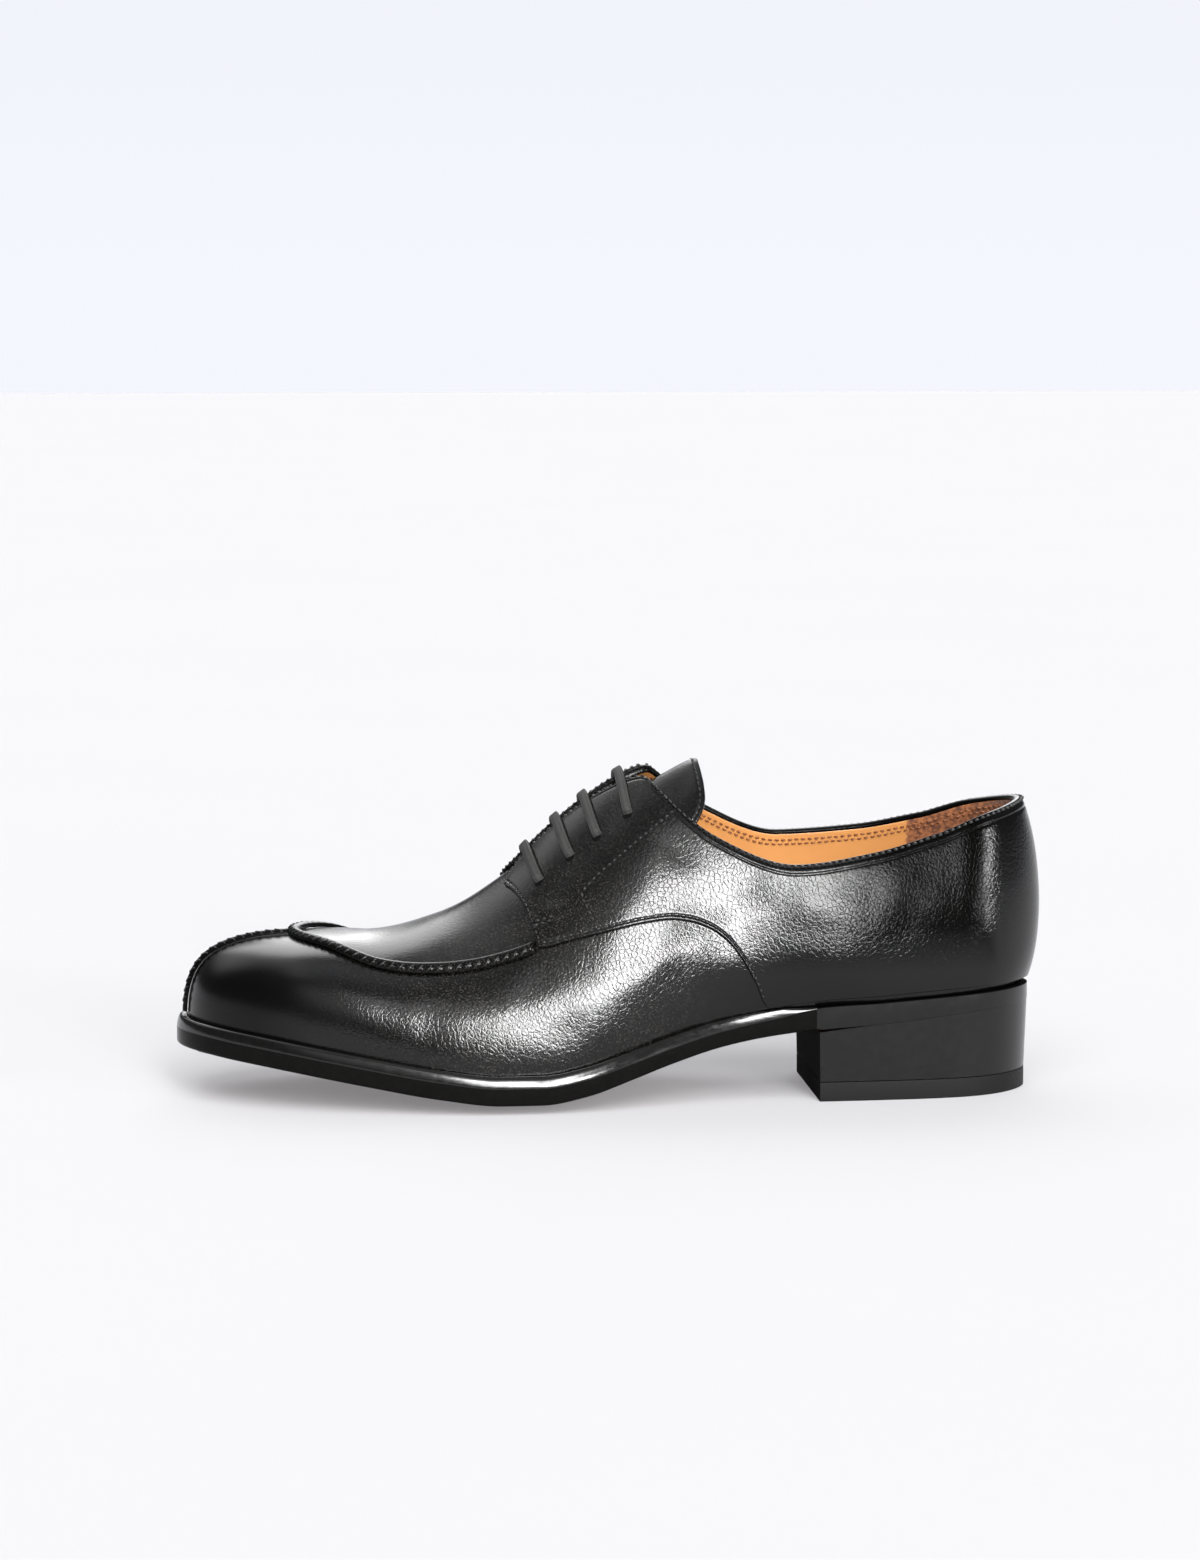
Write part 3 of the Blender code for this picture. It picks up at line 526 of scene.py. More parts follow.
# Materials
class Nodes:
    """Nodes of a material or of the sky, with short ways to add to them."""

    def __init__(self, tree, coordinates):
        self.tree = tree
        self.place = self.add("TexCoord").outputs[coordinates]

    def fill(self, made, inputs):
        """Links sockets to a node's inputs, or sets their values; a colour is given as three."""
        for key, value in inputs.items():
            socket = made.inputs[key]
            if isinstance(value, bpy.types.NodeSocket):
                self.tree.links.new(value, socket)
            elif socket.type == "RGBA":
                socket.default_value = (*value, 1.0)
            else:
                socket.default_value = value

    def add(self, kind, inputs=None, **settings):
        made = self.tree.nodes.new("ShaderNode" + kind)
        for key, value in settings.items():
            setattr(made, key, value)
        self.fill(made, inputs or {})
        return made

    def axis(self, name):
        return self.add("SeparateXYZ", {0: self.place}).outputs[name]

    def mixed(self, share, first, second):
        """Colour between two colours."""
        return self.add("Mix", {0: share, 6: first, 7: second}, data_type="RGBA").outputs[2]

    def maths(self, operation, first, second=0.0):
        return self.add("Math", {0: first, 1: second}, operation=operation).outputs[0]

    def times(self, first, second):
        return self.maths("MULTIPLY", first, second)

    def plus(self, first, second):
        return self.maths("ADD", first, second)

    def along(self, way):
        inputs = {0: self.place, 1: tuple(way)}
        return self.add("VectorMath", inputs, operation="DOT_PRODUCT").outputs["Value"]

    def ranged(self, value, low, high, to_low=0.0, to_high=1.0, **settings):
        inputs = {"Value": value, "From Min": low, "From Max": high, "To Min": to_low, "To Max": to_high}
        return self.add("MapRange", inputs, **settings).outputs[0]

    def noise(self, scale, detail, place=None):
        inputs = {"Vector": place or self.place, "Scale": scale, "Detail": detail}
        return self.add("TexNoise", inputs).outputs["Fac"]

    def bump(self, height, distance, strength, below=None):
        inputs = {"Height": height, "Distance": distance * MM, "Strength": strength}
        if below is not None:
            inputs["Normal"] = below
        return self.add("Bump", inputs).outputs[0]


def material(name, recipe, *sizes):
    """New material from a recipe that gives the inputs of its shader."""
    made = bpy.data.materials.new(name)
    made.use_nodes = True
    nodes = Nodes(made.node_tree, "Object")
    nodes.fill(made.node_tree.nodes["Principled BSDF"], recipe(nodes, *sizes))
    return made


def calf(n, gloss):
    """Glossy black leather: short upright wrinkles, smoother over the toe, duller low in the waist, with a
    painted sheen of light specks from the vamp to the facing.
    """
    warp = n.add("TexNoise", {"Vector": n.place, "Scale": 90.0, "Detail": 2.0}).outputs["Color"]
    bent = n.add("VectorMath", {0: warp, 1: (0.0008, 0.0008, 0.0008), 2: n.place}, operation="MULTIPLY_ADD")
    turned = {"Vector": bent.outputs[0], "Rotation": (0.0, -0.3, 0.0), "Scale": (1.0, 1.0, 0.85)}
    lean = n.add("Mapping", turned).outputs[0]
    grain = n.noise(1250.0, 2.0, lean)
    cells = n.add("TexVoronoi", {"Vector": lean, "Scale": 640.0}, feature="DISTANCE_TO_EDGE")
    wrinkle = n.ranged(cells.outputs["Distance"], 0.0, 0.12, 0.0, 0.3)
    x = n.axis("X")
    toe = n.ranged(x, -0.122, -0.085, 0.2, 1.0)
    front, back = n.ranged(x, 0.042, 0.098, 1.0, WAIST_GLOSS), n.ranged(x, 0.127, 0.133, WAIST_GLOSS, 1.0)
    low = n.ranged(n.axis("Z"), 0.045, 0.06, 1.0, WAIST_GLOSS)
    waist = n.maths("MAXIMUM", n.maths("MAXIMUM", front, back), low)
    polish = n.ranged(x, -0.12, -0.08, 0.07, 0.0)
    # Painted sheen: light brownish specks in the base colour stand in for glints of the grain in the dark
    # zones of the vamp and facing.
    painted_sheen_area = n.times(n.ranged(x, -0.11, -0.06), n.ranged(x, -0.01, 0.05, 1.0, 0.0))
    painted_sheen_area = n.times(painted_sheen_area, n.ranged(n.noise(30.0, 2.0), 0.4, 0.62, 0.45, 1.0))
    specks = n.times(painted_sheen_area, n.ranged(n.noise(1700.0, 1.0), 0.52, 0.74))
    strength = n.times(toe, n.ranged(n.noise(40.0, 2.0), 0.3, 0.7, 0.8, 1.0))
    return {
        "Base Color": n.mixed(specks, (0.0011, 0.0011, 0.001), (0.026, 0.0235, 0.02)),
        "Roughness": n.plus(n.ranged(grain, 0.3, 0.7, 0.12, 0.18), polish),
        "Specular IOR Level": n.times(waist, n.ranged(x, -0.125, -0.105, 0.55 * gloss, gloss)),
        "Normal": n.bump(n.plus(grain, wrinkle), 0.06, strength),
    }


def edge_leather(n, roughness, shine, grain):
    """Waxed black edge with faint streaks along the shoe."""
    long = n.add("Mapping", {"Vector": n.place, "Scale": (0.12, 0.3, 1.0)}).outputs[0]
    streaks = n.noise(1500.0, 3.0, long)
    spots = n.noise(420.0, 2.0)
    return {
        "Base Color": n.mixed(spots, (0.002, 0.002, 0.0019), (0.004, 0.0039, 0.0036)),
        "Roughness": n.ranged(spots, 0.3, 0.7, roughness - 0.03, roughness + 0.04),
        "Specular IOR Level": shine,
        "Normal": n.bump(n.plus(streaks, spots), grain, 0.4),
    }


def rubber(n):
    specks = n.noise(900.0, 2.0)
    return {
        "Base Color": n.mixed(specks, (0.003, 0.003, 0.003), (0.006, 0.006, 0.006)),
        "Roughness": n.ranged(specks, 0.3, 0.7, 0.48, 0.62),
        "Specular IOR Level": 0.18,
        "Normal": n.bump(specks, 0.05, 0.3),
    }


def natural_leather(n):
    """Unpainted underside of the sole."""
    fibres = n.noise(1400.0, 3.0)
    return {
        "Base Color": n.mixed(n.noise(45.0, 4.0), (0.13, 0.065, 0.034), (0.2, 0.105, 0.056)),
        "Roughness": n.ranged(fibres, 0.3, 0.7, 0.42, 0.6),
        "Normal": n.bump(fibres, 0.06, 0.4),
    }


def lining(n, patch_x):
    """Smooth tan leather, napped and darker behind a place along the shoe."""
    nap = n.noise(700.0, 5.0)
    edge = (patch_x - CENTRE[0]) * MM
    ragged = n.plus(n.axis("X"), n.times(nap, 0.004))
    patch = n.ranged(ragged, edge + 0.0015, edge + 0.0025)
    smooth = n.mixed(n.noise(55.0, 3.0), (0.378, 0.163, 0.047), (0.472, 0.217, 0.067))
    rough = n.mixed(n.ranged(nap, 0.35, 0.65), (0.06, 0.018, 0.007), (0.25, 0.088, 0.028))
    pores = n.bump(n.noise(1700.0, 3.0), 0.05, 0.3)
    return {
        "Base Color": n.mixed(patch, smooth, rough),
        "Roughness": n.ranged(patch, 0.0, 1.0, 0.42, 0.85),
        "Sheen Weight": n.times(patch, 0.3),
        "Normal": n.bump(nap, 0.25, n.times(patch, 0.8), pores),
    }


def woven_lace(n):
    """Flat waxed lace: slanted yarns that meet along its middle."""
    along, across = (n.add("Attribute", attribute_name=name).outputs["Fac"] for name in ("along", "across"))
    run, slant = n.times(along, 7.5), n.times(across, 5.0)
    yarn = n.times(n.maths("SINE", n.plus(run, slant)), n.maths("SINE", n.maths("SUBTRACT", run, slant)))
    return {
        "Base Color": n.mixed(n.ranged(yarn, -0.8, 0.8), (0.009, 0.009, 0.0085), (0.03, 0.03, 0.029)),
        "Roughness": 0.62,
        "Specular IOR Level": 0.3,
        "Normal": n.bump(n.plus(yarn, n.noise(1800.0, 3.0)), 0.12, 0.6),
    }


def thread(n, first, second):
    twist = n.noise(2600.0, 2.0)
    return {
        "Base Color": n.mixed(twist, first, second),
        "Roughness": 0.34,
        "Normal": n.bump(twist, 0.06, 0.5),
    }


# Painted shade: dark matt discs laid in the eyelets stand in for the shade inside the holes.
def painted_hole_shade(n):
    return {
        "Base Color": n.mixed(n.noise(900.0, 2.0), (0.0015, 0.0015, 0.0015), (0.004, 0.004, 0.004)),
        "Roughness": 0.9,
        "Specular IOR Level": 0.05,
    }


CALF = material("black_calf_grain", calf, 0.38)
SEAM_CALF = material("black_calf_seam", calf, 0.13)
WELT_EDGE = material("welt_edge", edge_leather, 0.14, 0.45, 0.05)
SOLE_EDGE = material("sole_edge", edge_leather, 0.2, 0.05, 0.006)
HEEL_EDGE = material("heel_edge", edge_leather, 0.2, 0.36, 0.01)
# Painted shade: a dull copy of the edge leather that keeps the heel breast and the sole's top dark, as if in
# shadow.
SHADE_EDGE = material("edge_painted_shade", edge_leather, 0.85, 0.02, 0.05)
RUBBER = material("heel_rubber_satin", rubber)
UNDERSIDE = material("sole_underside", natural_leather)
LINING = material("tan_lining_soft", lining, HEEL_PATCH_X)
SOCK = material("tan_insole_soft", lining, HEEL_TIP[0])
LACE = material("waxed_lace_weave", woven_lace)
BLACK_THREAD = material("black_thread", thread, (0.003, 0.003, 0.003), (0.012, 0.012, 0.012))
TAN_THREAD = material("tan_thread", thread, (0.10, 0.032, 0.01), (0.2, 0.07, 0.022))
HOLE_SHADE = material("eyelet_painted_shade", painted_hole_shade)


# Meshes
def placed(name, data):
    thing = bpy.data.objects.new(name, data)
    bpy.context.scene.collection.objects.link(thing)
    return thing


def piece(name, points, faces, materials, nodes=(), kinds=None, values=None, sharp=180.0):
    """Mesh from points in millimetres that rides on the shoe and stands for solids of the frame."""
    mesh = bpy.data.meshes.new(name)
    metres = (np.asarray(points).reshape(-1, 3) - CENTRE) * MM
    mesh.from_pydata(metres.tolist(), [], [list(face) for face in faces])
    for made in materials:
        mesh.materials.append(made)
    if kinds is not None:
        mesh.polygons.foreach_set("material_index", np.asarray(kinds, np.int32))
    for key, value in (values or {}).items():
        held = mesh.attributes.new(key, "FLOAT", "POINT").data
        held.foreach_set("value", np.ravel(value).astype(np.float32))
    work = bmesh.new()
    work.from_mesh(mesh)
    bmesh.ops.remove_doubles(work, verts=work.verts, dist=WELD)
    bmesh.ops.dissolve_degenerate(work, edges=work.edges, dist=SHORTEST)
    bmesh.ops.recalc_face_normals(work, faces=work.faces)
    work.to_mesh(mesh)
    work.free()
    mesh.shade_smooth()
    mesh.set_sharp_from_angle(angle=math.radians(sharp))
    thing = placed(name, mesh)
    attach(thing, "root")
    if nodes:
        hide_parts(*nodes)
    return thing


def grid_faces(columns, rows, around=False, start=0):
    """Quads of a grid of points kept column after column."""
    i = np.arange(columns if around else columns - 1)
    a = start + i[:, None] * rows + np.arange(rows - 1)
    b = start + ((i + 1) % columns)[:, None] * rows + np.arange(rows - 1)
    return np.stack([a, b, b + 1, a + 1], axis=-1).reshape(-1, 4)


def shell(name, outer, inner, materials, nodes, around=False, top_open=None):
    """Wall between two grids; the inner one has the last material."""
    columns, rows = outer.shape[:2]
    count = columns * rows
    faces = [grid_faces(columns, rows, around), grid_faces(columns, rows, around, count)]
    spans = np.arange(columns if around else columns - 1)
    for row in (0, rows - 1):
        free = spans if row == 0 or top_open is None else spans[np.asarray(top_open)]
        a = free * rows + row
        b = (free + 1) % columns * rows + row
        faces.append(np.stack([a, b, b + count, a + count], axis=-1))
    if not around:
        for edge in (0, columns - 1):
            a = edge * rows + np.arange(rows - 1)
            faces.append(np.stack([a, a + 1, a + 1 + count, a + count], axis=-1))
    inside = len(materials) - 1
    kinds = np.concatenate([np.full(len(group), inside if k == 1 else 0) for k, group in enumerate(faces)])
    points = np.concatenate([outer.reshape(-1, 3), inner.reshape(-1, 3)])
    return piece(name, points, np.concatenate(faces), materials, nodes, kinds)


def crowded(count, amount):
    """Shares from 0 to 1 that crowd at both ends."""
    v = np.linspace(0.0, 1.0, count)
    return v - amount * np.sin(2 * math.pi * v) / (2 * math.pi)


def along_run(where, run, values):
    """Rows of values at places along a run."""
    return np.stack([np.interp(where, run, values[:, i]) for i in range(values.shape[1])], axis=-1)


def relief(points, side):
    """Height of the soft troughs, ridges and unevenness of the leather at places on the skin."""
    x, z = points[..., 0], points[..., 2]
    height = np.zeros(x.shape)
    for crease in CREASES:
        run_x, run_z = crease.end_x - crease.x, crease.end_z - crease.z
        part = ((x - crease.x) * run_x + (z - crease.z) * run_z) / (run_x ** 2 + run_z ** 2)
        part = np.clip(part, 0.0, 1.0)
        away = np.hypot(x - crease.x - part * run_x, z - crease.z - part * run_z)
        depth = crease.depth * np.sin(math.pi * part) * (side == crease.side)
        height -= depth * np.exp(-(away / crease.width) ** 2)
    for wave in WAVES:
        height += wave.height * np.sin(2 * math.pi * (x / wave.length_x + z / wave.length_z))
    return height


def leather_at(u, t, side, height):
    """Point over the uneven skin."""
    return raised(u, t, side, height + relief(skin(u, t, side), side))


def edge_form(distance, radius=EDGE_ROUND):
    """Share of a leather's thickness near its rounded edge."""
    return np.sqrt(1 - (1 - np.clip(distance / radius, 0.0, 1.0)) ** 2)


def groove(distance, middle):
    return GROOVE_DEPTH * np.exp(-((distance - middle) / GROOVE_WIDTH) ** 2)


def turns(count):
    return np.linspace(0.0, 2 * math.pi, count, endpoint=False)


def frames(paths, outs, axis):
    """Directions across and up along paths."""
    along = unit(np.gradient(paths, axis=axis))
    across = unit(np.cross(along, outs))
    return across, np.cross(across, along)


def tube(path, outs, half_width, half_thick, roundness):
    """Points of a flat tube along a path."""
    across, up = frames(path, outs, 0)
    angle = turns(TUBE_SIDES)
    wide = np.sign(np.cos(angle)) * np.abs(np.cos(angle)) ** roundness * half_width
    high = np.sign(np.sin(angle)) * np.abs(np.sin(angle)) ** roundness * half_thick
    return path[:, None] + across[:, None] * wide[None, :, None] + up[:, None] * high[None, :, None]


def ring_walls(index):
    """Quads between closed rings of point numbers, in the last two directions of a grid."""
    turned = np.roll(index, -1, axis=-1)
    here, there = index[..., :-1, :], index[..., 1:, :]
    walls = [here, turned[..., :-1, :], turned[..., 1:, :], there]
    return np.stack(walls, axis=-1).reshape(-1, 4)


def tube_faces(count, sides, start=0):
    index = start + np.arange(count * sides).reshape(count, sides)
    return ring_walls(index).tolist() + [index[0].tolist(), index[-1].tolist()]


def threads(lines, outs, radius):
    """Points and faces of many short threads, each thinner at its ends."""
    count, steps = lines.shape[:2]
    across, up = frames(lines, outs, 1)
    taper = radius * (0.45 + 0.55 * np.sin(math.pi * np.linspace(0.06, 0.94, steps)))
    angle = turns(THREAD_SIDES)
    ring = across[:, :, None] * np.cos(angle)[:, None] + up[:, :, None] * np.sin(angle)[:, None]
    points = lines[:, :, None] + ring * taper[None, :, None, None]
    index = np.arange(count * steps * THREAD_SIDES).reshape(count, steps, THREAD_SIDES)
    return points.reshape(-1, 3), ring_walls(index)


def stitches(points, outs, pitch=STITCH_PITCH, radius=THREAD):
    """Lines of a row of stitches that dive into the leather at both ends."""
    run = arc_of(points)
    reach_along = np.linspace(-0.5, 0.5, STITCH_STEPS)
    where = np.arange(pitch / 2, run[-1], pitch)[:, None] + STITCH_SHARE * pitch * reach_along
    lines = along_run(where, run, points)
    ways = unit(along_run(where, run, outs))
    lift = radius * (1.2 * np.cos(math.pi * reach_along) - 0.6)
    return lines + ways * lift[None, :, None], ways, radius


def row_on(u, t, side, height, radius=THREAD):
    """A row of stitches through places on the leather."""
    return stitches(leather_at(u, t, side, height), normal(u, t, side), radius=radius)


black_rows, tan_rows = [], []


# Upper and lining
def upper():
    square = u_at_x(np.linspace(TOE_TURN_X, HEEL_TURN_X, 150))[1:]
    stations = np.concatenate([np.linspace(0.0, FIRST_SQUARE, 45), square, round_heel(33)])
    us, side = both_sides(stations, closed=True)
    top = top_line(us, side)
    us, side = us[:, None], side[:, None]
    ts = top[:, None] * np.linspace(0.0, 1.0, 60)
    free = (top < 1.0) | (np.roll(top, -1) < 1.0)
    shell("upper_leather", leather_at(us, ts, side, 0.0), raised(us, ts, side, -WALL),
          (CALF, LINING), ("upper",), around=True, top_open=free)


# Quarters
def quarter_grid(side, columns, rows):
    """Stations and heights over a quarter, crowded at its edges."""
    coarse = along_spans(QUARTER_SPANS)
    coarse[-1] -= BACK_SEAM
    where = (len(coarse) - 1) * crowded(columns, 0.85)
    high = np.interp(where, np.arange(len(coarse)), coarse)
    shift = (FACING_CORNER_X - FACING_FRONT_X) * np.exp(-where / FACING_LEAN_COLUMNS)
    low_x = np.minimum(base_x(high) + shift, QUARTER_SPANS[-1].stop)
    low = np.where(high < LAST_SQUARE, u_at_x(low_x), high)
    rounding = through(np.arange(len(FACING_ROUNDING) + 1.0), np.array(FACING_ROUNDING + (0.0,)), where)
    share = crowded(rows, 0.95)
    us, ts = [], []
    for u_high, u_low, cut in zip(high, low, rounding):
        x_low = float(base_x(u_low))
        edge_z = float(look_up(WING, "z", x_low)) if x_low < WING[-1].x else 0.0
        t_low = t_at_height(u_low, side, max(edge_z, welt_top(u_low, side) + WELT_CLEAR))
        t_high = top_t(max(u_high, u_at_x(FACING_TOP_X)), side) - cut
        us.append(u_low + (u_high - u_low) * share)
        ts.append(t_low + (t_high - t_low) * share)
    return np.array(us), np.array(ts)


def along_columns(distance, inset, us, ts):
    """Places at an inset from the edge that a distance is counted from, one for each column."""
    return [np.array([np.interp(inset, d, v) for d, v in zip(distance, values)]) for values in (us, ts)]


def between(values, count):
    """Values with even steps from each to the next."""
    runs = [np.linspace(a, b, count, endpoint=False) for a, b in zip(values, values[1:])]
    return np.concatenate(runs + [values[-1:]])


def on_side(line, side):
    """Places on one side of the leather from points given by length and height."""
    us = u_at_x(between(column(line, "x"), 12))
    return us, np.array([t_at_height(u, side, z) for u, z in zip(us, between(column(line, "z"), 12))])


def quarter(side):
    us, ts = quarter_grid(side, 230, 110)
    base = raised(us, ts, side, GAP)
    low = arc_of(base, 1)
    high = low[:, -1:] - low
    front = arc_of(base)
    back = front[-1:] - front
    edge = np.minimum(np.minimum(low, high), np.minimum(front, back))
    thick = OVERLAY * edge_form(edge)
    collar = np.clip((base[..., 0] - COLLAR_START_X) / COLLAR_BLEND, 0.0, 1.0)
    thick *= 1 - collar * (1 - edge_form(high, COLLAR_ROUND))
    wing = np.clip((WING_END_X - base[..., 0]) / WING_BLEND, 0.0, 1.0)
    thick -= wing * groove(low, WING_ROW) + groove(front, FACING_ROW)
    thick -= collar * groove(high, COLLAR_ROW) + (1 - collar) * groove(high, FACING_ROW)
    thick = np.maximum(thick, 0.0)
    name = "quarter_lateral" if side < 0 else "quarter_medial"
    shell(name + "_leather", leather_at(us, ts, side, GAP + thick), leather_at(us, ts, side, GAP),
          (CALF,), (name,))
    lift = GAP + OVERLAY - GROOVE_DEPTH - ROW_SINK

    def sew(places, picked, height=lift, radius=THREAD):
        u, t = places
        keep = picked(base_x(u))
        black_rows.append(row_on(u[keep], t[keep], side, height, radius))

    sew(along_columns(low, WING_ROW, us, ts), lambda x: (x < WING_ROW_END_X) & (front[:, 0] > WING_ROW))
    sew(along_columns(high, COLLAR_ROW, us, ts), lambda x: x > COLLAR_ROW_X, lift + 0.05, DOG_LEG_THREAD)
    sew(along_columns(high, FACING_ROW, us, ts), lambda x: (x < COLLAR_ROW_X) & (front[:, -1] > FACING_ROW))
    sew(along_columns(front.T, FACING_ROW, us.T, ts.T),
        lambda x: (low[0] > FACING_ROW) & (high[0] > FACING_ROW))
    for line in (DOG_LEG, TACK_TOP, TACK_FOOT):
        black_rows.append(row_on(*on_side(line, side), side, GAP + OVERLAY, DOG_LEG_THREAD))


def collar_edge():
    """Rolled edge along both facings and round the collar."""
    square = u_at_x(np.linspace(COLLAR_EDGE_X, HEEL_TURN_X, 170))
    us, side = both_sides(np.concatenate([square, round_heel(40)]))
    ts = top_line(us, side)
    path = raised(us, ts, side, (GAP - WALL) / 2 + 0.2)
    rolled = tube(path, normal(us, ts, side), COLLAR_EDGE_HALF, (WALL + GAP) / 2 + 0.3, COLLAR_ROUNDNESS)
    piece("collar_edge", rolled, tube_faces(len(us), TUBE_SIDES), (SEAM_CALF,))
    keep = base_x(us) > LINING_ROW_X
    for inset in LINING_ROWS:
        arcs = [inset + arc_above(u, s, t) for u, s, t in zip(us, side, ts)]
        below = np.array([t_at_arc(u, s, arc) for u, s, arc in zip(us, side, arcs)])
        inside = raised(us, below, side, -WALL)
        tan_rows.append(stitches(inside[keep], -normal(us, below, side)[keep]))


# Raised seams
def apron_t(u, side):
    return t_at_out(u, side, float(np.interp(u, FINE, APRON_REACH[side][:, 0])))


def speed(u, t, side):
    """Millimetres of leather for a unit step in t and in u."""
    tiny = 1e-3
    up = np.linalg.norm(skin(u, t + tiny, side) - skin(u, t - tiny, side)) / (2 * tiny)
    step = tiny if u < tiny else 0.0
    along = np.linalg.norm(skin(u + tiny + step, t, side) - skin(u - tiny + step, t, side)) / (2 * tiny)
    return up, along


def seam_offsets(roll, count):
    return roll.half_width * np.sin(np.linspace(-math.pi / 2, math.pi / 2, count))


def seam(name, us, ts, sides, roll):
    """Raised seam on a grid across its line, pulled in at each stitch, with threads over its lower side."""
    columns = us.shape[1]
    offsets = seam_offsets(roll, columns)
    form = roll.crest * np.sqrt(np.clip(1 - (offsets / (roll.half_width * 1.04)) ** 2, 0.0, 1.0))
    run = arc_of(skin(us, ts, sides)[:, columns // 2])
    pulled = APRON_PINCH * (0.5 + 0.5 * np.cos(2 * math.pi * run / APRON_PITCH)) ** 3
    lower = np.clip(np.linspace(1.7, -0.3, columns), 0.0, 1.0)
    ends = edge_form(np.minimum(run, run[-1] - run), roll.end_round)
    height = GAP + form * (1 - pulled[:, None] * lower) * ends[:, None]
    outer = leather_at(us, ts, sides, height)
    shell(name + "_leather", outer, leather_at(us, ts, sides, GAP), (SEAM_CALF,), (name,))
    starts = np.arange(1, int(run[-1] / APRON_PITCH)) * APRON_PITCH
    share = np.linspace(0.0, 1.0, 7)
    i = np.abs(run - starts[:, None, None] - (APRON_STITCH * share)[:, None]).argmin(axis=-1)
    across = roll.stitch_start + (roll.stitch_stop - roll.stitch_start) * share
    j = np.round(across * (columns - 1)).astype(int)
    sink = np.where((share > 0.0) & (share < 1.0), APRON_THREAD_LIFT, APRON_THREAD_DIVE)
    ways = normal(us, ts, sides)[i, j]
    black_rows.append((outer[i, j] + ways * sink[:, None], ways, APRON_THREAD))


def apron_seam():
    us, sides = both_sides(to_toe(APRON_SEAM_END_X, 120, 130))
    offsets = seam_offsets(APRON_ROLL, 17)
    middle = [apron_t(u, side) for u, side in zip(us, sides)]
    ts = [t + offsets / speed(u, t, side)[0] for u, t, side in zip(us, middle, sides)]
    wide = np.ones(len(offsets))
    seam("apron_seam", us[:, None] * wide, np.array(ts), sides[:, None] * wide, APRON_ROLL)


def toe_seam():
    """Seam down the toe; its upper end runs under the apron's seam."""
    start = t_at_height(0.0, LATERAL, welt_top(0.0, LATERAL) + TOE_SEAM_CLEAR)
    top = apron_t(0.0, LATERAL)
    stop = top - (APRON_ROLL.half_width - TOE_SEAM_UNDER) / speed(0.0, top, LATERAL)[0]
    offsets = seam_offsets(TOE_ROLL, 13)
    rows = np.linspace(start, stop, 150)
    us = np.array([np.abs(offsets) / speed(0.0, t, LATERAL)[1] for t in rows])
    sides = np.where(offsets <= 0, LATERAL, MEDIAL) * np.ones(us.shape)
    seam("toe_seam", us, rows[:, None] * np.ones(len(offsets)), sides, TOE_ROLL)


# Tongue
def tongue():
    share = crowded(61, 0.8) * 2 - 1
    part = crowded(90, 0.8)
    sweep = TONGUE_TIP_SWEEP * np.sin(math.pi / 2 * np.minimum(np.abs(share) * 1.4, 1.0)) ** 2
    tip = TONGUE[-1].x + sweep - TONGUE_CORNER * np.maximum(np.abs(share) - TONGUE_FLAT, 0.0) ** 2
    xs = TONGUE[0].x + (tip - TONGUE[0].x) * part[:, None]
    us = u_at_x(xs)
    sides = np.where(share <= 0, LATERAL, MEDIAL) * np.ones(us.shape)
    width = np.abs(share) * look_up(TONGUE, "half_width", xs)
    ts = np.array([[t_at_arc(u, s, w) for u, s, w in zip(*row)] for row in zip(us, sides, width)])
    depth = look_up(TONGUE, "depth", xs)
    middle = raised(us, ts, sides, -depth - TONGUE_THICK / 2)
    side_arc = arc_of(middle, 1)
    end_arc = arc_of(middle)
    tip_far = end_arc[-1:] - end_arc
    side_far = np.minimum(side_arc, side_arc[:, -1:] - side_arc)
    thin = TONGUE_THICK / 2 * (1 - edge_form(np.minimum(side_far, tip_far)))
    thin += groove(tip_far, TONGUE_ROW) / 2
    front = raised(us, ts, sides, -depth - thin)
    back = raised(us, ts, sides, -depth - TONGUE_THICK + thin)
    shell("tongue_leather", front, back, (CALF, LINING), ("tongue",))
    u, t = along_columns(tip_far.T[:, ::-1], TONGUE_ROW, us.T[:, ::-1], ts.T[:, ::-1])
    s = sides[0]
    keep = (np.abs(share) > 0.02) & (np.abs(share) < 0.93)
    deep = -look_up(TONGUE, "depth", base_x(u)) - TONGUE_ROW_SINK
    for near in (share < 0, share > 0):
        rows = keep & near
        black_rows.append(stitches(raised(u, t, s, deep)[rows], normal(u, t, s)[rows]))


